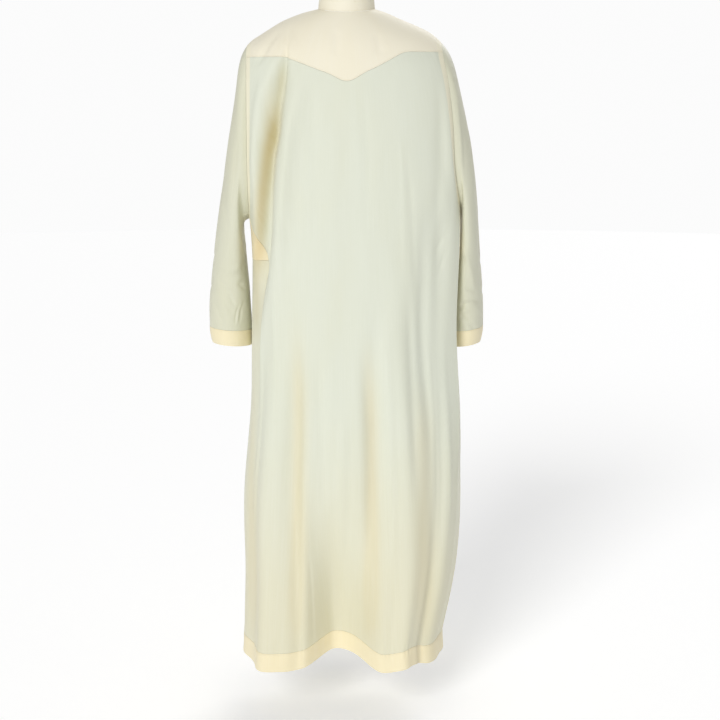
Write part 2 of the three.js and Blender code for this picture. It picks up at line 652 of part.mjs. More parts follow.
// The edges that only one cell uses.
function openEdges(cells) {
  const edges = new Map();
  const cellEdges = cells.flatMap((cell) => cell.map((index, i) => [index, cell[(i + 1) % cell.length]]));
  for (const [a, b] of cellEdges) {
    if (!edges.delete(`${b},${a}`)) edges.set(`${a},${b}`, [a, b]);
  }
  return [...edges.values()];
}

// Moves a grid's open edges back into it, so that neighbours keep SEAM_GAP between them.
function drawnBack(points, normals, edges) {
  const inwards = points.map(() => []);
  for (const [a, b] of edges) {
    const into = normals[a].clone().add(normals[b]).cross(points[b].clone().sub(points[a])).normalize();
    inwards[a].push(into);
    inwards[b].push(into);
  }
  return points.map((point, i) => {
    const [first, second = first] = inwards[i];
    if (!first) return point.clone();
    const scale = SEAM_GAP / 2 / Math.max(1 + first.dot(second), 0.5);
    return point.clone().addScaledVector(first.clone().add(second), scale);
  });
}

// A closed wall round a grid: an outer and an inner layer of cells and a rim at the open edges.
function walled({ points, cells }, wall, normalAt, out = 0) {
  const normals = points.map((point) => normalAt.get(keyOf(point)));
  const edges = openEdges(cells);
  const middle = drawnBack(points, normals, edges);
  const layer = (offset) => middle.map((point, i) => point.clone().addScaledVector(normals[i], offset));
  const under = points.length;
  const outer = cells.flatMap(([a, b, c, d]) => [a, b, c, a, c, d]);
  const inner = cells.flatMap(([a, b, c, d]) => [a, c, b, a, d, c].map((index) => index + under));
  const rim = edges.flatMap(([a, b]) => [a, a + under, b, b, a + under, b + under]);
  const geometry = new THREE.BufferGeometry();
  geometry.setFromPoints([...layer(out + wall / 2), ...layer(out - wall / 2)]);
  geometry.setIndex([...outer, ...inner, ...rim]);
  return geometry;
}

// ---------------------------------------------------------------- buttons
function buttonGeometry() {
  const outline = new THREE.Shape().absarc(0, 0, BUTTON.radius - BUTTON.bevel, 0, 2 * Math.PI);
  for (const turn of [45, 135, 225, 315].map(degToRad)) {
    const [x, y] = [Math.cos(turn), Math.sin(turn)].map((v) => v * BUTTON.holeCircle);
    outline.holes.push(new THREE.Path().absarc(x, y, BUTTON.hole, 0, 2 * Math.PI));
  }
  const settings = {
    depth: BUTTON.thick - 2 * BUTTON.bevel,
    bevelEnabled: true,
    bevelThickness: BUTTON.bevel,
    bevelSize: BUTTON.bevel,
    bevelSegments: 1,
    curveSegments: 6,
  };
  return new THREE.ExtrudeGeometry(outline, settings).translate(0, 0, BUTTON.bevel);
}

// Where a button sits on the placket's middle line: the point, and the way out of the cloth.
function buttonSeat(strip, normalAt, z) {
  const line = strip.points.slice(PLACKET_ROWS + 1, 2 * (PLACKET_ROWS + 1));
  const i = line.findIndex((point) => point.z < z) - 1;
  const share = (line[i].z - z) / (line[i].z - line[i + 1].z);
  const out = mixPoints(normalAt.get(keyOf(line[i])), normalAt.get(keyOf(line[i + 1])), share).normalize();
  return { point: mixPoints(line[i], line[i + 1], share), out };
}

// ---------------------------------------------------------------- the robe
const panels = {
  back: backPanel(),
  front: { left: frontHalf("left"), right: frontHalf("right") },
  gores: { left: sideGore("left"), right: sideGore("right") },
};
const cloth = {
  yoke: { grid: yoke(), wall: DOUBLE },
  back_panel: { grid: panels.back, wall: CLOTH },
  front_panel: { grid: joined([panels.front.left, panels.front.right]), wall: CLOTH },
  collar: { grid: collar(), wall: DOUBLE },
  hem_band: { grid: hemBand(panels), wall: DOUBLE },
};
for (const side of SIDES) {
  const { sleeve, cuff } = sleeveAndCuff(side);
  cloth[`gusset_${side}`] = { grid: gusset(side), wall: DOUBLE };
  cloth[`side_gore_${side}`] = { grid: panels.gores[side], wall: CLOTH };
  cloth[`sleeve_${side}`] = { grid: sleeve, wall: CLOTH };
  cloth[`cuff_${side}`] = { grid: cuff, wall: DOUBLE };
}

const robe = new THREE.Group();
const materials = {
  single: new THREE.MeshStandardMaterial({ color: COLOURS.single, roughness: 0.72, metalness: 0 }),
  double: new THREE.MeshStandardMaterial({ color: COLOURS.double, roughness: 0.7, metalness: 0 }),
  button: new THREE.MeshStandardMaterial({ color: COLOURS.button, roughness: 0.35, metalness: 0 }),
};
function add(name, geometry, material) {
  const mesh = new THREE.Mesh(geometry, material);
  mesh.name = name;
  robe.add(mesh);
  return mesh;
}

const normalAt = sharedNormals(Object.values(cloth).map((piece) => piece.grid));
for (const [name, piece] of Object.entries(cloth)) {
  const material = piece.wall === DOUBLE ? materials.double : materials.single;
  add(name, walled(piece.grid, piece.wall, normalAt), material);
}

const strip = placket(panels.front);
const stripNormals = sharedNormals([strip]);
const stripOut = CLOTH / 2 + LAID_GAP + DOUBLE / 2;
add("placket", walled(strip, DOUBLE, stripNormals, stripOut), materials.double);

BUTTON_HEIGHTS.forEach((z, i) => {
  const { point, out } = buttonSeat(strip, stripNormals, z);
  const button = add(`button_${i + 1}`, buttonGeometry(), materials.button);
  button.quaternion.setFromUnitVectors(vector([0, 0, 1]), out);
  button.position.copy(point).addScaledVector(out, stripOut + DOUBLE / 2 + LAID_GAP);
});

export default robe;
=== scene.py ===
# %% [markdown]
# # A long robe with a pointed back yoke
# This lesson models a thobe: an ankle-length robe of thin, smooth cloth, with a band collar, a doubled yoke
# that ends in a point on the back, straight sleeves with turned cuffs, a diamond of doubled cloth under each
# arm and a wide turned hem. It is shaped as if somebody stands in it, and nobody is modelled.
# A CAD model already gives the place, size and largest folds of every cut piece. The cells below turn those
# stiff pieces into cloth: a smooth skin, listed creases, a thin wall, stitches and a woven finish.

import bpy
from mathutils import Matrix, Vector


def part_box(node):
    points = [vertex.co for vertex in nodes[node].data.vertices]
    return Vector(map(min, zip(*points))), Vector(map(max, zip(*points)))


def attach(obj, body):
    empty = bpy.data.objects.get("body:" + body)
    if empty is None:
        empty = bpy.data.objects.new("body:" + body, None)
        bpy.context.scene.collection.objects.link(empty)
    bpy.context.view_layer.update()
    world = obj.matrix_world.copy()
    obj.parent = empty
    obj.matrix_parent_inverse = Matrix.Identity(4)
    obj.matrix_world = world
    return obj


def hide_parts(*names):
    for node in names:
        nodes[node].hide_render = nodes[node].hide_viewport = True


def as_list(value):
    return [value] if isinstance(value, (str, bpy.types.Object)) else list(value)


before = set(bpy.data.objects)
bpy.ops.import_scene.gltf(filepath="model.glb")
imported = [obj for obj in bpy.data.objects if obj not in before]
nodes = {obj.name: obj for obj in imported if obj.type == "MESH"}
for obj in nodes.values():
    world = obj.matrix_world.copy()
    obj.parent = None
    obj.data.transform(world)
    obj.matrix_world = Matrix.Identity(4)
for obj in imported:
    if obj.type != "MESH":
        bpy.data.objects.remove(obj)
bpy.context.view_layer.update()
print("CAD nodes:", sorted(nodes))

# %% [markdown]
# ## Working in object and edit mode from code
# Every operator in Blender acts on what is selected, so each step starts by clearing the selection and
# making one object active. Two small helpers do that. The third one runs a few operators in edit mode and
# comes back.

# %% Helpers for selecting and editing
import math

import bpy
import numpy as np
from mathutils import Vector, kdtree, noise
from mathutils.bvhtree import BVHTree


def deselect_all():
    if bpy.context.mode != "OBJECT":
        bpy.ops.object.mode_set(mode="OBJECT")
    bpy.ops.object.select_all(action="DESELECT")


def pick(piece):
    deselect_all()
    piece.select_set(True)
    bpy.context.view_layer.objects.active = piece


def in_edit_mode(piece, *steps):
    pick(piece)
    bpy.ops.object.mode_set(mode="EDIT")
    for step in steps:
        step()
    bpy.ops.object.mode_set(mode="OBJECT")


def points_of(piece):
    flat = np.empty(len(piece.data.vertices) * 3)
    piece.data.vertices.foreach_get("co", flat)
    return flat.reshape(-1, 3)


def put_points(piece, points):
    piece.data.vertices.foreach_set("co", np.asarray(points, np.float32).ravel())
    piece.data.update()


deselect_all()
print("selected after clearing:", len(bpy.context.selected_objects))

# %% [markdown]
# ## From a stiff wall to one skin of cloth
# A CAD piece is a closed wall: an outer face, an inner face and a narrow rim between them. Real cloth is
# drawn most easily as one sheet that gets its thickness last. So a copy of the wall is merged, its rim is
# deleted, and of the two sheets that are left the one that looks outwards is kept. The trunk looks away
# from the upright middle line of the robe, and a sleeve looks away from its own line from armhole to cuff.

# %% Lines that each piece looks away from
TRUNK_LINE = (Vector((0, 0, -2)), Vector((0, 0, 1)))
BODY_WIDTH_TO_DEPTH = 1.5


def sleeve_line(side):
    """The line down the middle of a sleeve, from its armhole end to its cuff."""
    sleeve = points_of(nodes["sleeve_" + side])
    cuff_low, cuff_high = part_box("cuff_" + side)
    outward = 1 if side == "left" else -1
    near_trunk = sleeve[np.argsort(outward * sleeve[:, 0])[: len(sleeve) // 8]]
    top = (near_trunk.min(0) + near_trunk.max(0)) / 2
    armhole = Vector((outward * abs(top[0]), 0.0, (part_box("sleeve_" + side)[1].z + top[2]) / 2))
    return armhole, (cuff_low + cuff_high) / 2


LINES = {"trunk": TRUNK_LINE, "left": sleeve_line("left"), "right": sleeve_line("right")}
for name, (start, end) in LINES.items():
    print(name, "line from", [round(v, 3) for v in start], "to", [round(v, 3) for v in end])


def away_from(line, points):
    """Unit directions from the nearest place on a line to each point."""
    start, end = np.array(LINES[line][0]), np.array(LINES[line][1])
    along = end - start
    share = np.clip((points - start) @ along / (along @ along), 0, 1)
    away = points - (start + share[:, None] * along)
    if line == "trunk":
        away[:, 1] *= BODY_WIDTH_TO_DEPTH
    return away / np.maximum(np.linalg.norm(away, axis=1), 1e-9)[:, None]


# %% The outer skin of a CAD wall
RIM_EDGE = 0.0026


def rim_faces(piece):
    """Selects the faces of the rim, which are as narrow as the wall is thick."""
    points = points_of(piece)
    for face in piece.data.polygons:
        corners = points[list(face.vertices)]
        sides = np.linalg.norm(corners - np.roll(corners, 1, axis=0), axis=1)
        face.select = bool(sides.min() < RIM_EDGE)


def islands(piece):
    """The faces of each separate sheet of a mesh."""
    parent = list(range(len(piece.data.vertices)))

    def root(i):
        while parent[i] != i:
            parent[i] = parent[parent[i]]
            i = parent[i]
        return i

    for edge in piece.data.edges:
        parent[root(edge.vertices[0])] = root(edge.vertices[1])
    found = {}
    for face in piece.data.polygons:
        found.setdefault(root(face.vertices[0]), []).append(face.index)
    return list(found.values())


def looks_out(piece, faces, line):
    """How far a sheet looks away from its line: plus its area if all of it does, minus if none does."""
    polygons = [piece.data.polygons[i] for i in faces]
    away = away_from(line, np.array([face.center for face in polygons]))
    return sum(f.area * np.sign(np.dot(f.normal, a)) for f, a in zip(polygons, away))


def outer_skin(node, line):
    skin = bpy.data.objects.new(node + "_cloth", nodes[node].data.copy())
    skin.data.materials.clear()
    bpy.context.scene.collection.objects.link(skin)
    in_edit_mode(
        skin,
        lambda: bpy.ops.mesh.select_all(action="SELECT"),
        lambda: bpy.ops.mesh.remove_doubles(threshold=0.00001),
        lambda: bpy.ops.mesh.select_all(action="DESELECT"),
    )
    bpy.context.tool_settings.mesh_select_mode = (False, False, True)
    rim_faces(skin)
    in_edit_mode(skin, lambda: bpy.ops.mesh.delete(type="FACE"))
    sheets = sorted(islands(skin), key=lambda faces: looks_out(skin, faces, line))
    for faces in sheets[:-1]:
        for i in faces:
            skin.data.polygons[i].select = True
    if len(sheets) > 1:
        in_edit_mode(skin, lambda: bpy.ops.mesh.delete(type="FACE"))
    in_edit_mode(
        skin,
        lambda: bpy.ops.mesh.select_all(action="SELECT"),
        lambda: bpy.ops.mesh.tris_convert_to_quads(face_threshold=math.pi, shape_threshold=math.pi,
                                                   topology_influence=1),
    )
    return skin


# %% [markdown]
# ## Rounding the facets
# The sheet is now a coarse grid of quads. A Subdivision Surface modifier rounds it as a tailor's steam iron
# would: each level cuts every quad in four and eases the corners. The edges keep their corners, so two
# pieces that meet at a seam still share the same curve. Rounding also pulls the cloth in a little, away from
# the corners of the grid, so the corners are first pushed out by as much as they are pulled in. Where three
# pieces meet, such as a panel, a gusset and a gore, every one of them needs a sharp corner, or a slit opens
# between a rounded edge and a cornered one. A vertex crease keeps those corners. The modifier is applied,
# because the creases that follow move the new, finer points.

# %% Smooth sheets for every piece
PIECES = {
    # name: (line that it looks away from, subdivision levels)
    "back_panel": ("trunk", 3),
    "front_panel": ("trunk", 3),
    "side_gore_left": ("trunk", 3),
    "side_gore_right": ("trunk", 3),
    "gusset_left": ("trunk", 3),
    "gusset_right": ("trunk", 3),
    "yoke": ("trunk", 3),
    "collar": ("trunk", 3),
    "placket": ("trunk", 3),
    "hem_band": ("trunk", 3),
    "sleeve_left": ("left", 3),
    "sleeve_right": ("right", 3),
    "cuff_left": ("left", 3),
    "cuff_right": ("right", 3),
}


PUSHES = 4


def rounded(skin, levels):
    pick(skin)
    corners = points_of(skin)
    bpy.ops.object.modifier_add(type="SUBSURF")
    smoothing = skin.modifiers[-1]
    smoothing.levels = levels
    smoothing.render_levels = levels
    smoothing.boundary_smooth = "PRESERVE_CORNERS"
    for attempt in range(PUSHES):
        seen = skin.evaluated_get(bpy.context.evaluated_depsgraph_get())
        pulled_in = points_of(seen)[: len(corners)] - corners
        put_points(skin, points_of(skin) - pulled_in)
    bpy.ops.object.modifier_apply(modifier=smoothing.name)
    left_over = np.linalg.norm(points_of(skin)[: len(corners)] - corners, axis=1).max()
    print(skin.name, "passes within", round(left_over * 1000, 2), "mm of the corners of its grid")
    return skin


def corner_points(skin):
    """The points of a sheet that only one face uses: the corners of its outline."""
    uses = np.zeros(len(skin.data.vertices), int)
    for face in skin.data.polygons:
        for i in face.vertices:
            uses[i] += 1
    return points_of(skin)[uses == 1]


def keep_corners(skin, corners):
    sharp = skin.data.attributes.new("crease_vert", "FLOAT", "POINT")
    near = nearness(points_of(skin), corners) < SAME_PLACE
    sharp.data.foreach_set("value", near.astype(np.float32))
    return int(near.sum())


def nearness(points, targets):
    """The distance from each point to the nearest of the targets."""
    tree = kdtree.KDTree(len(targets))
    for i, target in enumerate(targets):
        tree.insert(target, i)
    tree.balance()
    return np.array([tree.find(point)[2] for point in points])


SAME_PLACE = 0.004
skins = {name: outer_skin(name, line) for name, (line, levels) in PIECES.items()}
corners = np.concatenate([corner_points(skin) for skin in skins.values()])
for name, (line, levels) in PIECES.items():
    kept = keep_corners(skins[name], corners)
    rounded(skins[name], levels)
    skin_area = sum(face.area for face in skins[name].data.polygons)
    print(name, "corners kept", kept, "area m2", round(skin_area, 4))


# %% [markdown]
# ## Creases, listed one by one
# Thin smooth cloth hangs in long soft pipes, breaks into short diagonal creases where an arm bends, and
# puckers where it is gathered into a seam. Simulated cloth would choose its own folds. Here each crease is
# drawn as a tailor would chalk it: the side that it is seen from, half its width, its depth (a trough is
# minus, a ridge is plus) and a path of a few points in millimetres, across and up. A crease fades at its two
# ends and round the corner of the body. It moves the cloth only by where a point is, never by which piece
# it belongs to, so two pieces that meet at a seam move together.

# %% The crease tool
MM = 0.001
SIDES_SEEN = {
    # side: (direction that faces the eye, axis across, axis up)
    "back": ((0, 1, 0), 0, 2),
    "front": ((0, -1, 0), 0, 2),
    "left": ((1, 0, 0), 1, 2),
    "right": ((-1, 0, 0), 1, 2),
}


def smooth_step(low, high, value):
    share = np.clip((value - low) / (high - low), 0, 1)
    return share * share * (3 - 2 * share)


def along_path(across, up, path):
    """Distance to a path, and how far along it the nearest place is, from 0 to 1."""
    path = np.array(path, float) * MM
    steps = np.linalg.norm(np.diff(path, axis=0), axis=1)
    nearest = np.full(len(across), np.inf)
    share = np.zeros(len(across))
    walked = 0.0
    for (a, b), step in zip(zip(path[:-1], path[1:]), steps):
        t = ((across - a[0]) * (b - a)[0] + (up - a[1]) * (b - a)[1]) / step**2
        held = np.clip(t, 0, 1)
        gap = np.hypot(across - a[0] - held * (b - a)[0], up - a[1] - held * (b - a)[1])
        closer = gap < nearest
        nearest = np.where(closer, gap, nearest)
        share = np.where(closer, (walked + held * step) / steps.sum(), share)
        walked += step
    return nearest, share


def crease_heights(points, away, creases):
    """How far each point moves out, in metres, for a table of creases."""
    total = np.zeros(len(points))
    for side, half, depth, *path in creases:
        facing, across, up = SIDES_SEEN[side]
        seen = smooth_step(0.05, 0.45, away @ np.array(facing, float))
        gap, share = along_path(points[:, across], points[:, up], path)
        ends = smooth_step(0, 0.28, share) * smooth_step(1, 0.72, share)
        total += depth * MM * np.exp(-((gap / (half * MM)) ** 2)) * ends * seen
    return total


# %% The creases of the trunk
TRUNK_CREASES = [
    # side, half width, depth, path of (across, up) points, all in millimetres
    # from the shoulders, over the yoke
    ("back", 7, -4.0, (138, -14), (160, -44), (186, -92)),
    ("back", 5, -3.2, (118, 0), (124, -50), (128, -110), (136, -190)),
    ("back", 6, 1.6, (106, -10), (112, -60), (115, -120)),
    ("back", 9, -1.4, (-60, -20), (-66, -70)),
    ("back", 8, -1.2, (20, -14), (24, -70)),
    ("back", 4, -1.3, (-180, -62), (-196, -92)),
    ("back", 4, 1.0, (-168, -50), (-186, -80)),
    # the deep valley beside the left shoulder blade, and the roll of cloth between it and the armhole
    ("back", 8, -6.0, (126, -40), (132, -110), (141, -190), (152, -270)),
    ("back", 13, -11.0, (140, -150), (157, -250), (169, -340), (176, -430), (178, -520)),
    ("back", 10, 4.5, (168, -90), (184, -180), (192, -270), (196, -350)),
    ("back", 12, 3.5, (112, -150), (124, -270), (138, -390), (146, -520)),
    # faint streaks down the upper back
    ("back", 14, -0.9, (64, -150), (66, -300), (60, -470)),
    ("back", 15, 0.9, (24, -180), (24, -330), (30, -520)),
    ("back", 11, -1.0, (-32, -140), (-40, -280), (-36, -450)),
    ("back", 6, 0.9, (-104, -210), (-112, -330), (-116, -500)),
    ("back", 6, -1.1, (-120, -260), (-130, -380), (-138, -560)),
    ("back", 10, -1.0, (-180, -160), (-186, -300), (-184, -440)),
    # long pipes of the skirt
    ("back", 9, -2.8, (104, -560), (100, -780), (104, -1000), (112, -1250)),
    ("back", 8, 2.2, (150, -480), (150, -700), (156, -950)),
    ("back", 12, -2.6, (60, -640), (54, -820), (50, -1010)),
    ("back", 10, 2.4, (6, -760), (12, -930), (14, -1120)),
    ("back", 11, -3.6, (-30, -620), (-42, -820), (-44, -1050), (-40, -1200)),
    ("back", 12, 2.8, (-72, -560), (-84, -800), (-92, -1050), (-100, -1230)),
    ("back", 9, -2.6, (-122, -520), (-134, -740), (-142, -980)),
    ("back", 6, 1.6, (-160, -600), (-176, -820), (-180, -1060)),
    ("back", 8, -2.2, (-190, -700), (-200, -930), (-196, -1120)),
    ("back", 4, -3.0, (82, -1080), (77, -1190), (74, -1330)),
    # small breaks low on the skirt
    ("back", 3.5, -1.3, (92, -1082), (76, -1096)),
    ("back", 3.5, -1.2, (122, -1142), (104, -1150)),
    ("back", 3.5, -1.3, (78, -1212), (58, -1226)),
    ("back", 4, 1.0, (-60, -1160), (-86, -1172)),
    # under the arms
    ("back", 2.4, -1.3, (206, -404), (190, -396), (180, -402)),
    ("back", 2.4, -1.5, (206, -418), (190, -412), (178, -420)),
    ("back", 2.4, -1.4, (206, -434), (192, -430), (178, -440)),
    ("back", 2.6, -1.5, (206, -452), (192, -450), (176, -462)),
    ("back", 2.6, -1.4, (206, -474), (194, -472), (178, -482)),
    ("back", 3.5, -1.6, (-214, -420), (-196, -432), (-176, -470)),
    ("back", 3.5, -1.4, (-212, -452), (-198, -470), (-186, -510)),
    # the front hangs straighter, from the chest and the shoulders
    ("front", 8, -3.4, (150, -120), (164, -220), (178, -340)),
    ("front", 8, -3.4, (-146, -130), (-160, -240), (-176, -350)),
    ("front", 9, 2.4, (120, -150), (130, -280), (146, -420)),
    ("front", 9, 2.2, (-118, -160), (-130, -300), (-142, -430)),
    ("front", 6, -1.8, (60, -120), (76, -200), (84, -290)),
    ("front", 6, -1.7, (-58, -130), (-70, -210), (-84, -310)),
    ("front", 8, -2.4, (30, -390), (26, -560), (34, -760)),
    ("front", 9, 2.2, (-26, -400), (-34, -600), (-30, -820)),
    ("front", 10, -3.0, (-90, -520), (-98, -760), (-96, -1040)),
    ("front", 10, 2.8, (92, -480), (104, -740), (108, -1020)),
    ("front", 9, -2.8, (140, -560), (150, -820), (152, -1120)),
    ("front", 9, 2.6, (-146, -600), (-158, -840), (-160, -1140)),
    ("front", 8, -2.2, (8, -860), (4, -1020), (10, -1230)),
    ("front", 7, 2.0, (56, -820), (62, -1000), (58, -1200)),
    ("front", 3.5, -1.3, (96, -1150), (74, -1166)),
    ("front", 3.5, -1.2, (-60, -1190), (-84, -1200)),
    # the two sides, below the arms
    ("left", 7, -2.4, (30, -500), (36, -700), (44, -960)),
    ("left", 8, 2.2, (-20, -520), (-24, -760), (-20, -1050)),
    ("left", 7, -2.2, (-64, -560), (-72, -800), (-76, -1100)),
    ("left", 6, 1.8, (84, -560), (92, -800), (96, -1080)),
    ("left", 4, -1.6, (20, -486), (-14, -520), (-40, -580)),
    ("right", 7, -2.4, (26, -500), (30, -720), (40, -1000)),
    ("right", 8, 2.2, (-26, -520), (-30, -780), (-24, -1080)),
    ("right", 7, -2.2, (-70, -560), (-78, -820), (-80, -1120)),
    ("right", 6, 1.8, (80, -580), (90, -820), (94, -1100)),
    ("right", 4, -1.6, (24, -490), (-10, -530), (-36, -600)),
]
print("creases on the trunk:", len(TRUNK_CREASES))

# %% The creases of the sleeves
SLEEVE_CREASES = {
    "left": [
        # below the shoulder
        ("back", 5, -1.8, (222, -96), (232, -140), (236, -200)),
        ("back", 7, 1.8, (236, -130), (244, -210), (252, -300)),
        ("back", 6, -2.0, (222, -220), (232, -300), (236, -390)),
        ("back", 6, -1.8, (258, -300), (256, -370), (246, -440)),
        # where the elbow bends
        ("back", 3.5, -2.2, (212, -470), (222, -500), (214, -522)),
        ("back", 3.5, -2.4, (214, -524), (228, -536), (212, -556)),
        ("back", 5, 2.2, (222, -500), (246, -512), (270, -506)),
        ("back", 4.5, -2.4, (276, -520), (256, -546), (236, -590)),
        ("back", 5, 1.8, (284, -540), (266, -572), (248, -612)),
        ("back", 4, -2.0, (288, -566), (272, -600), (262, -632)),
        # above the cuff, by the inner seam
        ("back", 2.6, -1.5, (216, -568), (226, -590), (230, -622)),
        ("back", 2.6, -1.4, (226, -576), (236, -600), (240, -626)),
        ("back", 2.6, 1.2, (221, -572), (231, -594), (235, -626)),
        ("front", 6, -2.2, (226, -130), (236, -220), (240, -320)),
        ("front", 6, 2.0, (244, -160), (252, -260), (256, -350)),
        ("front", 4.5, -2.6, (216, -430), (240, -452), (266, -446)),
        ("front", 4.5, -2.6, (216, -478), (242, -500), (272, -492)),
        ("front", 5, 2.2, (214, -456), (240, -478), (270, -470)),
        ("front", 4.5, -2.2, (284, -530), (262, -560), (232, -576)),
        ("front", 3.5, -1.8, (284, -580), (264, -600), (244, -628)),
        ("left", 7, -2.4, (20, -140), (10, -260), (14, -380)),
        ("left", 6, 2.0, (-16, -200), (-20, -320), (-30, -430)),
        ("left", 5, -2.2, (24, -440), (-6, -476), (-40, -500)),
        ("left", 5, -2.0, (10, -520), (-24, -548), (-56, -560)),
        ("left", 4, -1.8, (2, -576), (-20, -604), (-30, -640)),
    ],
    "right": [
        # gathered into the armhole at the shoulder
        ("back", 2.6, -1.6, (-208, -66), (-222, -72), (-232, -84)),
        ("back", 2.6, -1.7, (-209, -80), (-224, -88), (-234, -104)),
        ("back", 2.6, -1.6, (-210, -94), (-224, -104), (-232, -122)),
        ("back", 2.8, -1.4, (-210, -110), (-222, -122), (-228, -142)),
        ("back", 2.4, 1.2, (-208, -73), (-223, -80), (-233, -94)),
        ("back", 2.4, 1.2, (-209, -87), (-224, -96), (-233, -112)),
        # down to the elbow
        ("back", 6, -2.0, (-226, -150), (-236, -240), (-238, -330)),
        ("back", 7, 1.8, (-246, -180), (-256, -280), (-262, -370)),
        ("back", 4.5, -2.6, (-214, -330), (-226, -372), (-224, -420)),
        ("back", 3.2, -2.0, (-220, -476), (-234, -484), (-248, -482)),
        ("back", 6, 2.0, (-232, -450), (-256, -500), (-268, -560)),
        # two long curved breaks above the cuff
        ("back", 3.6, -3.2, (-230, -594), (-246, -578), (-264, -574), (-288, -584)),
        ("back", 5, 2.4, (-232, -604), (-250, -590), (-270, -590), (-290, -602)),
        ("back", 3.6, -2.8, (-232, -602), (-248, -614), (-262, -628), (-276, -640)),
        ("back", 3.4, -2.0, (-240, -540), (-254, -552), (-276, -556)),
        ("back", 2.8, -1.4, (-226, -604), (-232, -620), (-234, -640)),
        ("front", 6, -2.2, (-226, -140), (-236, -230), (-240, -330)),
        ("front", 6, 2.0, (-246, -170), (-254, -270), (-258, -360)),
        ("front", 4.5, -2.6, (-216, -440), (-240, -462), (-266, -456)),
        ("front", 4.5, -2.4, (-216, -490), (-242, -512), (-272, -504)),
        ("front", 5, 2.0, (-214, -466), (-240, -488), (-270, -480)),
        ("front", 4.5, -2.2, (-284, -540), (-262, -568), (-234, -584)),
        ("front", 3.5, -1.8, (-284, -590), (-264, -610), (-246, -636)),
        ("right", 7, -2.2, (18, -150), (8, -270), (10, -390)),
        ("right", 6, 2.0, (-18, -210), (-24, -330), (-34, -440)),
        ("right", 5, -2.2, (20, -450), (-10, -486), (-44, -506)),
        ("right", 5, -2.0, (6, -530), (-26, -556), (-60, -566)),
        ("right", 4, -1.8, (0, -584), (-24, -610), (-34, -646)),
    ],
}
print("creases on the sleeves:", {side: len(table) for side, table in SLEEVE_CREASES.items()})

# %% [markdown]
# ## Unevenness, puckers and quiet seams
# Between the named creases the cloth is never quite flat: a slow, upright noise lifts it by a fraction of a
# millimetre. Beside the hem's stitch line the doubled edge draws the cloth into small uneven puckers. At the
# armholes the trunk and the sleeve look away from different lines, so every movement dies out there.

# %% Distances to the seams
def border_points(piece):
    """The points on the open edges of a sheet."""
    uses = {}
    for face in piece.data.polygons:
        for key in face.edge_keys:
            uses[key] = uses.get(key, 0) + 1
    ends = {i for key, count in uses.items() if count == 1 for i in key}
    return points_of(piece)[sorted(ends)]


def end_towards(points, line, share_low, share_high):
    start, end = np.array(LINES[line][0]), np.array(LINES[line][1])
    share = (points - start) @ (end - start) / ((end - start) @ (end - start))
    return points[(share >= share_low) & (share <= share_high)]


armhole_seams = {}
for side in ("left", "right"):
    edge = border_points(skins["sleeve_" + side])
    armhole_seams[side] = end_towards(edge, side, -9, 0.6)
    print(side, "armhole seam", len(armhole_seams[side]), "points, from z",
          armhole_seams[side][:, 2].min().round(3), "to", armhole_seams[side][:, 2].max().round(3))

# %% Puckers along the hem's stitch line
hem_edge = border_points(skins["hem_band"])
hem_turn = np.arctan2(hem_edge[:, 0], hem_edge[:, 1])
hem_middle = {}
for turn, point in zip(hem_turn, hem_edge):
    hem_middle.setdefault(round(turn * 24), []).append(point[2])
hem_top = np.array([p for t, p in zip(hem_turn, hem_edge) if p[2] > np.mean(hem_middle[round(t * 24)])])
order = np.argsort(np.arctan2(hem_top[:, 0], hem_top[:, 1]))
HEM_TURNS = np.arctan2(hem_top[order, 0], hem_top[order, 1])
HEM_HEIGHTS = hem_top[order, 2]
PUCKER_DEPTH = 0.9 * MM
PUCKER_REACH = 13 * MM
print("hem stitch line from z", HEM_HEIGHTS.min().round(3), "to", HEM_HEIGHTS.max().round(3))


def hem_puckers(points):
    """Small uneven waves beside the hem's stitch line, about 14 mm apart."""
    turn = np.arctan2(points[:, 0], points[:, 1])
    above = points[:, 2] - np.interp(turn, HEM_TURNS, HEM_HEIGHTS, period=2 * math.pi)
    wave = np.sin(turn * 92 + 3 * np.sin(turn * 13) + 2 * np.sin(turn * 31 + 1))
    uneven = 0.55 + 0.45 * np.sin(turn * 9 + 2 * np.sin(turn * 5))
    return PUCKER_DEPTH * wave * uneven * np.exp(-((above / PUCKER_REACH) ** 2))


def slow_noise(points):
    """A quiet unevenness, long up and down and short across."""
    return np.array([
        0.8 * MM * noise.noise(Vector((p[0] * 16, p[1] * 16, p[2] * 3.2)))
        + 0.35 * MM * noise.noise(Vector((p[0] * 42, p[1] * 42, p[2] * 11 + 7)))
        for p in points
    ])


# %% Move the cloth
QUIET_SEAM = 26 * MM


def creased(name):
    skin, line = skins[name], PIECES[name][0]
    points = points_of(skin)
    away = away_from(line, points)
    if line == "trunk":
        seam_points = np.concatenate(list(armhole_seams.values()))
        moved = crease_heights(points, away, TRUNK_CREASES) + hem_puckers(points) * (points[:, 2] < -1)
    else:
        seam_points = armhole_seams[line]
        moved = crease_heights(points, away, SLEEVE_CREASES[line])
    calm = smooth_step(0, QUIET_SEAM, nearness(points, seam_points))
    moved = (moved + slow_noise(points)) * calm
    put_points(skin, points + away * moved[:, None])
    return moved


for name in skins:
    moved = creased(name)
    print(name, "moved from", round(moved.min() * 1000, 1), "to", round(moved.max() * 1000, 1), "mm")

# %% [markdown]
# ## A flat map for the weave
# Threads run down the robe and round it, so the weave needs coordinates that follow the cloth. Each sheet
# gets a UV map in metres: how far round the body or the arm a point is, and how far up. The ring that closes
# on itself gets its last column moved on by a whole turn, so no face is stretched back across the map.

# %% The UV map in metres
MEAN_RADIUS = {"trunk": 0.19, "left": 0.062, "right": 0.062}


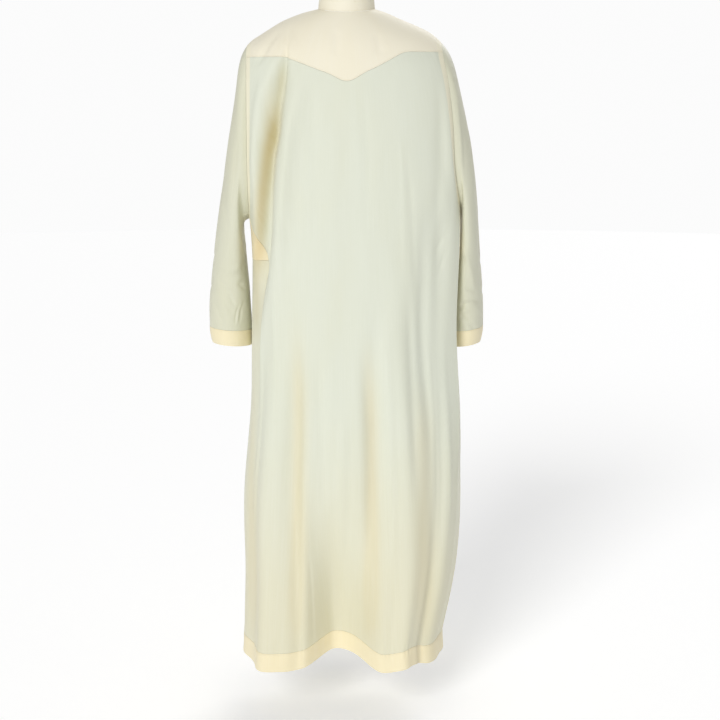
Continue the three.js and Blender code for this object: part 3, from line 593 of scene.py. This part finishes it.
def lay_weave(piece, line):
    points = points_of(piece)
    start, end = np.array(LINES[line][0]), np.array(LINES[line][1])
    turn = np.arctan2(points[:, 0] - start[0], points[:, 1] - (0 if line == "trunk" else start[1]))
    if line != "trunk":
        share = (points - start) @ (end - start) / ((end - start) @ (end - start))
        middle = start + share[:, None] * (end - start)
        turn = np.arctan2(points[:, 0] - middle[:, 0], points[:, 1] - middle[:, 1])
    corners = np.empty(len(piece.data.loops), int)
    piece.data.loops.foreach_get("vertex_index", corners)
    turns, heights = turn[corners], points[corners, 2]
    for face in piece.data.polygons:
        span = slice(face.loop_start, face.loop_start + face.loop_total)
        if np.ptp(turns[span]) > math.pi:
            turns[span] = np.where(turns[span] < 0, turns[span] + 2 * math.pi, turns[span])
    layer = piece.data.uv_layers.new(name="Weave")
    metres = np.column_stack([turns * MEAN_RADIUS[line], heights]).astype(np.float32)
    layer.data.foreach_set("uv", metres.ravel())


for name, (line, levels) in PIECES.items():
    lay_weave(skins[name], line)
print("UV maps:", {name: skin.data.uv_layers[0].name for name, skin in skins.items() if name == "yoke"})

# %% [markdown]
# ## Giving the sheets their thickness
# One layer of this cloth is thin enough for light to come through, and the yoke, collar, cuffs, hem,
# gussets and placket are two layers sewn together. A Solidify modifier thickens each sheet inwards, so the
# outside stays where it was modelled.

# %% Thin walls
ONE_LAYER = 0.7 * MM
TWO_LAYERS = 1.3 * MM
SINGLE = ("back_panel", "front_panel", "side_gore_left", "side_gore_right", "sleeve_left", "sleeve_right")


def thickened(piece, thickness):
    pick(piece)
    bpy.ops.object.modifier_add(type="SOLIDIFY")
    wall = piece.modifiers[-1]
    wall.thickness = thickness
    wall.offset = -1
    wall.use_even_offset = True
    bpy.ops.object.modifier_apply(modifier=wall.name)
    bpy.ops.object.shade_smooth_by_angle(angle=math.radians(50))


sheets = {name: skin.data.copy() for name, skin in skins.items()}
for name, skin in skins.items():
    thickened(skin, ONE_LAYER if name in SINGLE else TWO_LAYERS)
print("triangles:", {n: sum(len(f.vertices) - 2 for f in s.data.polygons) for n, s in skins.items()})

# %% Attach every piece to the frame
for name, skin in skins.items():
    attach(skin, "root")
    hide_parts(name)

# %% [markdown]
# ## Stitches
# A machine stitch is a short, slightly sunken capsule of thread. One is modelled, and every row is an
# array of copies of it that follow a seam at a fixed inset and lie in the surface. Each row becomes one
# joined mesh, because a thousand separate objects would be slow to handle and hard to keep together.

# %% The open edges of a sheet, in order
def border_loops(mesh):
    """Each open edge as a loop of points, with the direction that leads into the cloth at every point."""
    uses, inside = {}, {}
    for face in mesh.polygons:
        for key in face.edge_keys:
            uses.setdefault(key, []).append(face.index)
    open_edges = [key for key, faces in uses.items() if len(faces) == 1]
    beside = {}
    for a, b in open_edges:
        beside.setdefault(a, []).append(b)
        beside.setdefault(b, []).append(a)
        centre = mesh.polygons[uses[(a, b)][0]].center
        for i in (a, b):
            inside.setdefault(i, []).append(np.array(centre) - np.array(mesh.vertices[i].co))
    loops, seen = [], set()
    for start in beside:
        if start in seen:
            continue
        loop, here = [start], start
        seen.add(start)
        while True:
            onwards = [i for i in beside[here] if i not in seen]
            if not onwards:
                break
            here = onwards[0]
            seen.add(here)
            loop.append(here)
        points = np.array([mesh.vertices[i].co for i in loop])
        inward = np.array([np.mean(inside[i], axis=0) for i in loop])
        tangent = np.roll(points, -1, axis=0) - np.roll(points, 1, axis=0)
        tangent /= np.linalg.norm(tangent, axis=1)[:, None]
        inward -= (inward * tangent).sum(1)[:, None] * tangent
        loops.append((points, inward / np.linalg.norm(inward, axis=1)[:, None]))
    return loops


def seam_with(name, neighbours, within=3 * MM):
    """The stretches of a piece's edge that run beside its neighbours' edges."""
    targets = np.concatenate([loop for n in neighbours for loop, inward in border_loops(sheets[n])])
    for points, inward in border_loops(sheets[name]):
        near = nearness(points, targets) < within
        if near.all():
            yield np.vstack([points, points[:1]]), np.vstack([inward, inward[:1]])
            continue
        turn = int(np.argmin(near))
        points, inward, near = np.roll(points, -turn, 0), np.roll(inward, -turn, 0), np.roll(near, -turn)
        for part in np.split(np.arange(len(near)), np.flatnonzero(np.diff(near)) + 1):
            if near[part[0]] and len(part) > 6:
                yield points[part], inward[part]


print("edges of the yoke:", [len(points) for points, inward in border_loops(sheets["yoke"])])

# %% One stitch, modelled
STITCH_LENGTH = 2.3 * MM
STITCH_WIDTH = 0.55 * MM
STITCH_PITCH = 3.0 * MM
deselect_all()
bpy.ops.mesh.primitive_uv_sphere_add(segments=6, ring_count=4, radius=0.5, rotation=(0, math.pi / 2, 0))
stitch = bpy.context.object
stitch.name = "one_stitch"
bpy.ops.object.transform_apply(rotation=True)
in_edit_mode(
    stitch,
    lambda: bpy.ops.mesh.select_all(action="SELECT"),
    lambda: bpy.ops.transform.resize(value=(STITCH_LENGTH, STITCH_WIDTH, STITCH_WIDTH * 0.8)),
)
STITCH_POINTS = points_of(stitch)
STITCH_FACES = [tuple(face.vertices) for face in stitch.data.polygons]
print("faces of one stitch:", len(STITCH_FACES))

# %% Rows of stitches
def stitch_places(name, points, inward, inset):
    """Evenly spaced places on a piece's surface, with the way along the row and the way out."""
    sheet = sheets[name]
    tree = BVHTree.FromPolygons([v.co for v in sheet.vertices], [f.vertices for f in sheet.polygons])
    row = points + inward * inset
    walked = np.concatenate([[0], np.cumsum(np.linalg.norm(np.diff(row, axis=0), axis=1))])
    for distance in np.arange(STITCH_PITCH / 2, walked[-1], STITCH_PITCH):
        ends = [np.array([np.interp(distance + d, walked, row[:, k]) for k in range(3)]) for d in (-MM, MM)]
        place, normal, face, gap = tree.find_nearest(Vector((ends[0] + ends[1]) / 2))
        yield np.array(place), ends[1] - ends[0], np.array(normal)


def copies_of_stitch(places, name):
    """One mesh of stitches, each turned to lie along its row."""
    all_points, faces = [], []
    for place, along, out in places:
        along = along - (along @ out) * out
        along /= np.linalg.norm(along)
        turned = np.array([along, np.cross(out, along), out])
        faces += [tuple(i + len(all_points) * len(STITCH_POINTS) for i in face) for face in STITCH_FACES]
        all_points.append(STITCH_POINTS @ turned + place + out * STITCH_WIDTH * 0.15)
    mesh = bpy.data.meshes.new(name)
    mesh.from_pydata(np.concatenate(all_points).tolist(), [], faces)
    row = bpy.data.objects.new(name, mesh)
    bpy.context.scene.collection.objects.link(row)
    pick(row)
    bpy.ops.object.shade_smooth()
    return row


PANELS = ("back_panel", "front_panel", "side_gore_left", "side_gore_right")
ROWS = [
    # name of the row, piece that it is sewn on, neighbours along the seam, inset in millimetres
    ("yoke_stitches", "yoke", ("back_panel", "front_panel"), 2.5),
    ("hem_stitches", "hem_band", PANELS, 2.5),
    ("cuff_left_stitches", "cuff_left", ("sleeve_left",), 2.5),
    ("cuff_right_stitches", "cuff_right", ("sleeve_right",), 2.5),
    ("gusset_left_stitches", "gusset_left", ("back_panel", "front_panel", "side_gore_left"), 2.0),
    ("gusset_right_stitches", "gusset_right", ("back_panel", "front_panel", "side_gore_right"), 2.0),
]


def row_places(name, edges, inset):
    """The places of a row's stitches along all its edges, at an inset in millimetres."""
    return [place for points, inward in edges for place in stitch_places(name, points, inward, inset * MM)]


stitch_rows = {}
for row_name, on, beside, inset in ROWS:
    places = row_places(on, seam_with(on, beside), inset)
    stitch_rows[row_name] = copies_of_stitch(places, row_name)
    print(row_name, len(places), "stitches")

# %% Rows along free edges
def free_edge(name, wanted, closed=False):
    """The stretches of a piece's edge that are wanted, by a test on their points."""
    for points, inward in border_loops(sheets[name]):
        keep = wanted(points)
        if keep.all():
            yield np.vstack([points, points[:1]]), np.vstack([inward, inward[:1]])
            continue
        turn = int(np.argmin(keep))
        points, inward, keep = np.roll(points, -turn, 0), np.roll(inward, -turn, 0), np.roll(keep, -turn)
        for part in np.split(np.arange(len(keep)), np.flatnonzero(np.diff(keep)) + 1):
            if keep[part[0]] and len(part) > 6:
                yield points[part], inward[part]


collar_stand = points_of(skins["collar"])
collar_slope = np.polyfit(collar_stand[:, 1], collar_stand[:, 2], 1)


def above_collar_middle(points):
    return points[:, 2] > np.polyval(collar_slope, points[:, 1])


FREE_ROWS = [
    # name of the row, piece, which edge, inset in millimetres
    ("collar_top_stitches", "collar", above_collar_middle, 7.5),
    ("collar_foot_stitches", "collar", lambda points: ~above_collar_middle(points), 2.5),
    ("placket_stitches", "placket", lambda points: points[:, 2] < 1, 2.5),
]
for row_name, on, wanted, inset in FREE_ROWS:
    places = row_places(on, free_edge(on, wanted), inset)
    stitch_rows[row_name] = copies_of_stitch(places, row_name)
    print(row_name, len(places), "stitches")
bpy.data.objects.remove(stitch)
for row in stitch_rows.values():
    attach(row, "root")

# %% [markdown]
# ## What each piece was cut from
# A tailor knows every piece by the size that it was cut to, flat on the table. The width and length of each
# cut are listed in metres, with its area, how it is held and what it hangs from; nothing else in the script
# reads them.

# %% Flat sizes of the cuts
CUTS = {
    # name: (width, length, area, how it is held, what it hangs from)
    "yoke": (0.48, 0.22, 0.069, "draped", ()),
    "back_panel": (0.54, 1.26, 0.60, "hung", ("yoke_cloth",)),
    "front_panel": (0.48, 1.31, 0.556, "hung", ("yoke_cloth",)),
    "side_gore_left": (0.205, 0.82, 0.156, "hung", ("gusset_left_cloth",)),
    "side_gore_right": (0.20, 0.82, 0.146, "hung", ("gusset_right_cloth",)),
    "gusset_left": (0.16, 0.12, 0.0120, "hung", ("back_panel_cloth", "front_panel_cloth")),
    "gusset_right": (0.16, 0.14, 0.0148, "hung", ("back_panel_cloth", "front_panel_cloth")),
    "sleeve_left": (0.70, 0.60, 0.141, "hung", ("yoke_cloth",)),
    "sleeve_right": (0.68, 0.60, 0.136, "hung", ("yoke_cloth",)),
    "cuff_left": (0.30, 0.036, 0.0106, "hung", ("sleeve_left_cloth",)),
    "cuff_right": (0.27, 0.036, 0.0095, "hung", ("sleeve_right_cloth",)),
    "hem_band": (1.40, 0.040, 0.056, "hung", ("back_panel_cloth", "front_panel_cloth")),
    "placket": (0.033, 0.345, 0.0113, "hung", ("front_panel_cloth",)),
    "collar": (0.38, 0.028, 0.0104, "draped", ("yoke_cloth",)),
}
for name, (width, length, area, held, hangs_from) in CUTS.items():
    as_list(hangs_from)
print("cuts stated:", len(CUTS))

# %% [markdown]
# ## One weave for both cloths
# The robe is made of one plain-woven cloth: it shows as a single layer on the panels and as two layers on
# the yoke, collar, cuffs, hem, gussets and placket. Both looks share the same threads, so the threads are
# a node group, built once. It reads the UV map in metres and puts out a height for the bump, a mask of
# slubs, which are the slightly thicker threads that streak the cloth from top to bottom, and a mask of
# slow clouds.

# %% Helpers for building node trees
def new_group(name, inputs, outputs):
    group = bpy.data.node_groups.new(name, "ShaderNodeTree")
    for label, kind, value in inputs:
        socket = group.interface.new_socket(label, in_out="INPUT", socket_type=kind)
        if value is not None:
            socket.default_value = value
    for label, kind in outputs:
        group.interface.new_socket(label, in_out="OUTPUT", socket_type=kind)
    return group, group.nodes.new("NodeGroupInput"), group.nodes.new("NodeGroupOutput")


def add_node(tree, kind, **settings):
    node = tree.nodes.new(kind)
    for key, value in settings.items():
        setattr(node, key, value)
    return node


def math_node(tree, operation, first, second):
    node = add_node(tree, "ShaderNodeMath", operation=operation)
    for socket, value in zip(node.inputs, (first, second)):
        if isinstance(value, bpy.types.NodeSocket):
            tree.links.new(value, socket)
        else:
            socket.default_value = value
    return node.outputs[0]


def spread(tree, value, low, high, to_low=0.0, to_high=1.0):
    node = add_node(tree, "ShaderNodeMapRange", interpolation_type="SMOOTHSTEP")
    tree.links.new(value, node.inputs["Value"])
    for label, number in (("From Min", low), ("From Max", high), ("To Min", to_low), ("To Max", to_high)):
        node.inputs[label].default_value = number
    return node.outputs[0]


def stretched_noise(tree, vector, scale, size, detail):
    """Noise whose pattern is stretched by a different scale along each axis."""
    stretch = add_node(tree, "ShaderNodeVectorMath", operation="MULTIPLY")
    tree.links.new(vector, stretch.inputs[0])
    stretch.inputs[1].default_value = scale
    made = add_node(tree, "ShaderNodeTexNoise")
    tree.links.new(stretch.outputs[0], made.inputs["Vector"])
    made.inputs["Scale"].default_value = size
    made.inputs["Detail"].default_value = detail
    return made.outputs["Fac"]


# %% The woven threads as a node group
WEAVE, weave_in, weave_out = new_group(
    "plain weave",
    [("Map", "NodeSocketVector", None), ("Threads per metre", "NodeSocketFloat", 1700.0)],
    [("Height", "NodeSocketFloat"), ("Slubs", "NodeSocketFloat"), ("Clouds", "NodeSocketFloat")],
)
place = add_node(WEAVE, "ShaderNodeSeparateXYZ")
WEAVE.links.new(weave_in.outputs["Map"], place.inputs[0])
ripples = []
for axis in ("X", "Y"):
    turns = math_node(WEAVE, "MULTIPLY", place.outputs[axis], weave_in.outputs["Threads per metre"])
    ripples.append(math_node(WEAVE, "SINE", math_node(WEAVE, "MULTIPLY", turns, math.pi), 0.0))
over_and_under = math_node(WEAVE, "MULTIPLY", ripples[0], ripples[1])
slubs = stretched_noise(WEAVE, weave_in.outputs["Map"], (420.0, 9.0, 1.0), 1.0, 3.0)
cross_slubs = stretched_noise(WEAVE, weave_in.outputs["Map"], (7.0, 380.0, 1.0), 1.0, 2.0)
streaks = math_node(WEAVE, "ADD", slubs, math_node(WEAVE, "MULTIPLY", cross_slubs, 0.5))
height = math_node(WEAVE, "ADD", math_node(WEAVE, "MULTIPLY", over_and_under, 0.35), streaks)
clouds = stretched_noise(WEAVE, weave_in.outputs["Map"], (9.0, 3.5, 1.0), 1.0, 2.5)
WEAVE.links.new(height, weave_out.inputs["Height"])
WEAVE.links.new(spread(WEAVE, slubs, 0.35, 0.72), weave_out.inputs["Slubs"])
WEAVE.links.new(clouds, weave_out.inputs["Clouds"])
print("weave group outputs:", [item.name for item in WEAVE.interface.items_tree if item.in_out == "OUTPUT"])

# %% [markdown]
# ## The two cloths
# Light cloth looks greener and cooler where it is one layer, and creamier where it is doubled and at the
# seams, where an allowance lies behind it. Shade is painted into the colour of the single layer. It is
# darker and yellower in upright streaks, most of them along the valleys of its folds, on the upper side
# gores under the arms and towards the bottom of the skirt. It is browner in the deep valley beside the left
# shoulder blade, along both flanks under the arms and, more lightly, all over the sleeves. The hem, cuffs
# and gussets are given a more golden tone. Those masks come from attributes that are written on each mesh
# below. The sheen and specular values are the same everywhere, so they are set on the shader's own sockets.

# %% Cloth materials
ONE_LAYER_COLOUR = (0.735, 0.760, 0.640, 1)
# painted shade: a brown colour multiplied in along deep fold valleys, the flanks and the sleeves
BROWN_PAINTED_SHADE_COLOUR = (0.80, 0.70, 0.50, 1)
# painted shade: the darker, yellower colour that the single layer turns to along fold valleys and low on the
# skirt
WARM_PAINTED_SHADE_COLOUR = (0.745, 0.700, 0.500, 1)
DOUBLED_COLOUR = (0.890, 0.840, 0.680, 1)
DOUBLED_LOW_COLOUR = (0.880, 0.790, 0.540, 1)
ALLOWANCE_COLOUR = (0.900, 0.850, 0.650, 1)


def mixed(tree, share, first, second, blend="MIX"):
    node = add_node(tree, "ShaderNodeMix", data_type="RGBA", blend_type=blend)
    given = {"Factor": share, "A": first, "B": second}
    for socket, value in [(node.inputs[label], value) for label, value in given.items()]:
        if isinstance(value, bpy.types.NodeSocket):
            tree.links.new(value, socket)
        else:
            socket.default_value = value
    return node.outputs["Result"]


def mask_of(tree, name):
    mask = add_node(tree, "ShaderNodeAttribute", attribute_type="GEOMETRY", attribute_name=name)
    return mask.outputs["Fac"]


def cloth(name, base, low, roughness, sheen):
    made = bpy.data.materials.new(name)
    made.use_nodes = True
    tree = made.node_tree
    shader = tree.nodes["Principled BSDF"]
    uv = add_node(tree, "ShaderNodeUVMap", uv_map="Weave")
    weave = add_node(tree, "ShaderNodeGroup", node_tree=WEAVE)
    tree.links.new(uv.outputs[0], weave.inputs["Map"])
    weave.inputs["Threads per metre"].default_value = 1700.0
    # painted shade: the first mask turns the single layer darker and yellower along fold valleys, on the
    # upper side gores and towards the bottom of the skirt; on the hem, cuffs and gussets it gives a golden
    # tone
    hue = mixed(tree, mask_of(tree, "warmth_and_painted_shade"), base, low)
    hue = mixed(tree, mask_of(tree, "allowance"), hue, ALLOWANCE_COLOUR)
    # painted shade: the shade mask multiplies the colour towards a brown
    hue = mixed(tree, mask_of(tree, "shade"), hue, BROWN_PAINTED_SHADE_COLOUR, "MULTIPLY")
    clouded = mixed(tree, spread(tree, weave.outputs["Clouds"], 0.35, 0.7, 0.0, 0.10), hue,
                    (0.93, 0.86, 0.62, 1), "MULTIPLY")
    threaded = mixed(tree, math_node(tree, "MULTIPLY", weave.outputs["Slubs"], 0.05), clouded, (1, 1, 1, 1))
    tree.links.new(threaded, shader.inputs["Base Color"])
    tree.links.new(spread(tree, weave.outputs["Slubs"], 0, 1, roughness, roughness + 0.08),
                   shader.inputs["Roughness"])
    bump = add_node(tree, "ShaderNodeBump")
    bump.inputs["Strength"].default_value = 0.25
    bump.inputs["Distance"].default_value = 0.00008
    tree.links.new(weave.outputs["Height"], bump.inputs["Height"])
    tree.links.new(bump.outputs[0], shader.inputs["Normal"])
    shader.inputs["Specular IOR Level"].default_value = 0.35
    shader.inputs["Sheen Weight"].default_value = sheen
    shader.inputs["Sheen Roughness"].default_value = 0.4
    shader.inputs["Sheen Tint"].default_value = (1.0, 0.98, 0.92, 1)
    return made


CLOTHS = {
    "single": cloth("single_layer_cloth", ONE_LAYER_COLOUR, WARM_PAINTED_SHADE_COLOUR, 0.52, 0.25),
    "doubled": cloth("doubled_cloth", DOUBLED_COLOUR, DOUBLED_LOW_COLOUR, 0.55, 0.2),
}

# %% Masks written on each mesh
ALLOWANCE_WIDTH = 12 * MM
# painted shade: the single layer turns darker and yellower in these upright streaks, most of them in fold
# valleys
WARM_PAINTED_SHADE_STREAKS = [
    # side, half width, strength, path of (across, up) points in millimetres
    ("back", 16, 0.75, (104, -560), (100, -800), (104, -1060), (112, -1340)),
    ("back", 15, 0.80, (-38, -600), (-48, -820), (-50, -1060), (-46, -1330)),
    ("back", 14, 0.55, (206, -660), (206, -900), (204, -1180), (204, -1340)),
    ("back", 20, 0.45, (-150, -700), (-158, -940), (-160, -1340)),
    ("back", 14, 0.65, (150, -90), (160, -230), (178, -360), (192, -470)),
    ("front", 18, 0.6, (96, -600), (100, -860), (104, -1340)),
    ("front", 18, 0.6, (-90, -620), (-96, -880), (-96, -1340)),
    ("front", 16, 0.5, (10, -700), (6, -960), (8, -1340)),
]
SHADE_STREAKS = [
    # the same columns, for a brown painted shade in the deep valley beside the left shoulder blade and along
    # both flanks under the arms
    ("back", 11, 0.55, (128, -60), (134, -130), (146, -210), (156, -280)),
    ("back", 15, 0.85, (140, -150), (158, -250), (171, -340), (180, -430), (182, -540)),
    ("back", 9, 0.35, (190, -430), (190, -520), (192, -660)),
    ("back", 8, 0.30, (-228, -200), (-232, -300), (-230, -420)),
]
# the single-layer sleeves are darkened all over by this share of the same brown colour
SLEEVE_SHADE = 0.30
WARM_LOW = {"hem_band": 1.0, "cuff_left": 1.0, "cuff_right": 1.0, "gusset_left": 0.8, "gusset_right": 0.8}


def write_mask(piece, name, values):
    mask = piece.data.attributes.new(name, "FLOAT", "POINT")
    mask.data.foreach_set("value", np.clip(values, 0, 1).astype(np.float32))


for name, skin in skins.items():
    points = points_of(skin)
    line = PIECES[name][0]
    if name in WARM_LOW:
        golden_tone_and_painted_shade = np.full(len(points), WARM_LOW[name])
    elif line == "trunk" and name in SINGLE:
        # painted shade: darker and yellower in the streaks, towards the bottom of the skirt and on the upper
        # side gores
        streaks = crease_heights(points, away_from(line, points), WARM_PAINTED_SHADE_STREAKS) / MM
        golden_tone_and_painted_shade = streaks + 0.75 * smooth_step(-0.72, -1.3, points[:, 2])
        golden_tone_and_painted_shade += 0.55 * name.startswith("side_gore") * smooth_step(-0.9, -0.5, points[:, 2])
    else:
        golden_tone_and_painted_shade = np.zeros(len(points))
    write_mask(skin, "warmth_and_painted_shade", golden_tone_and_painted_shade)
    if line == "trunk":
        # painted shade: brown along the deep valleys and the flanks
        shade = crease_heights(points, away_from(line, points), SHADE_STREAKS) / MM
    else:
        shade = np.full(len(points), SLEEVE_SHADE if name in SINGLE else 0.0)
    write_mask(skin, "shade", shade)
    if line == "trunk":
        reach = nearness(points, np.concatenate(list(armhole_seams.values())))
        write_mask(skin, "allowance", 0.8 * smooth_step(ALLOWANCE_WIDTH + 3 * MM, ALLOWANCE_WIDTH, reach))
    skin.data.materials.append(CLOTHS["single" if name in SINGLE else "doubled"])

# %% Thread
THREAD_DARK = (0.74, 0.66, 0.46, 1)
THREAD_LIGHT = (0.90, 0.84, 0.66, 1)
thread = bpy.data.materials.new("cream_thread")
thread.use_nodes = True
thread_shader = thread.node_tree.nodes["Principled BSDF"]
thread_place = add_node(thread.node_tree, "ShaderNodeTexCoord")
twist = stretched_noise(thread.node_tree, thread_place.outputs["Object"], (900.0, 900.0, 900.0), 1.0, 2.0)
twist_share = spread(thread.node_tree, twist, 0.3, 0.7)
thread_colour = mixed(thread.node_tree, twist_share, THREAD_DARK, THREAD_LIGHT)
thread.node_tree.links.new(thread_colour, thread_shader.inputs["Base Color"])
thread_shader.inputs["Roughness"].default_value = 0.45
thread_shader.inputs["Sheen Weight"].default_value = 0.2
for row in stitch_rows.values():
    row.data.materials.append(thread)

# %% [markdown]
# ## Buttons
# The four buttons keep their CAD shape and get a pearly finish.

# %% A pearly finish for the buttons
PEARL_DARK = (0.86, 0.82, 0.70, 1)
PEARL_LIGHT = (0.95, 0.94, 0.88, 1)
pearl = bpy.data.materials.new("pearly_button")
pearl.use_nodes = True
pearl_shader = pearl.node_tree.nodes["Principled BSDF"]
where = add_node(pearl.node_tree, "ShaderNodeTexCoord")
swirl = stretched_noise(pearl.node_tree, where.outputs["Object"], (260.0, 260.0, 520.0), 1.0, 3.0)
swirl_share = spread(pearl.node_tree, swirl, 0.35, 0.7)
pearl_colour = mixed(pearl.node_tree, swirl_share, PEARL_DARK, PEARL_LIGHT)
pearl.node_tree.links.new(pearl_colour, pearl_shader.inputs["Base Color"])
pearl_shader.inputs["Roughness"].default_value = 0.28
pearl_shader.inputs["Coat Weight"].default_value = 0.3
for name in [n for n in nodes if n.startswith("button")]:
    nodes[name].data.materials.clear()
    nodes[name].data.materials.append(pearl)

# %% [markdown]
# ## Floor, light and camera
# A pale floor and two broad soft lights, as in a small studio: the main one is behind the robe, above it and
# a little to its left, and a weaker one is in front. The camera stands behind the robe, a little below its
# shoulders, and looks a little down.

# %% Floor
FLOOR_HEIGHT = -1.465
FLOOR_RADIUS = 11
FLOOR_GLOW = 0.22
bpy.ops.mesh.primitive_circle_add(
    vertices=96, radius=FLOOR_RADIUS, fill_type="NGON", location=(0, 0, FLOOR_HEIGHT))
floor = bpy.context.object
floor.name = "studio_floor"
paper = bpy.data.materials.new("white_paper")
paper.use_nodes = True
paper_shader = paper.node_tree.nodes["Principled BSDF"]
paper_shader.inputs["Base Color"].default_value = (0.97, 0.97, 0.97, 1)
paper_shader.inputs["Roughness"].default_value = 0.9
paper_shader.inputs["Emission Color"].default_value = (1, 1, 1, 1)
paper_shader.inputs["Emission Strength"].default_value = FLOOR_GLOW
floor.data.materials.append(paper)

# %% Lights
WINDOWS = [
    # place that it shines from, energy, how wide it looks in degrees
    ((1.1, 3.0, 1.7), 1.58, 20),
    ((-1.2, -3.0, 1.8), 1.1, 30),
]
ROOM_LIGHT = 0.37
BACKDROP_WHITE = 0.97
for place, energy, width in WINDOWS:
    bpy.ops.object.light_add(type="SUN", location=place)
    lamp = bpy.context.object
    lamp.data.energy = energy
    lamp.data.angle = math.radians(width)
    lamp.rotation_euler = (-Vector(place)).to_track_quat("-Z", "Y").to_euler()

world = bpy.data.worlds.new("soft_studio")
bpy.context.scene.world = world
world.use_nodes = True
backdrop = world.node_tree.nodes["Background"]
ray = add_node(world.node_tree, "ShaderNodeLightPath")
brightness = spread(world.node_tree, ray.outputs["Is Camera Ray"], 0, 1, ROOM_LIGHT, BACKDROP_WHITE)
world.node_tree.links.new(brightness, backdrop.inputs["Strength"])
backdrop.inputs["Color"].default_value = (1, 1, 1, 1)
bpy.context.scene.view_settings.view_transform = "Standard"

# %% Camera
CAMERA_PLACE = (-0.025, 3.2, -0.12)
LOOKS_DOWN = math.radians(10.34)
LENS = 76.1
SENSOR_WIDTH = 36
bpy.ops.object.camera_add(location=CAMERA_PLACE, rotation=(math.pi / 2 - LOOKS_DOWN, 0, math.pi))
camera = bpy.context.object
camera.data.lens = LENS
camera.data.sensor_width = SENSOR_WIDTH
bpy.context.scene.camera = camera
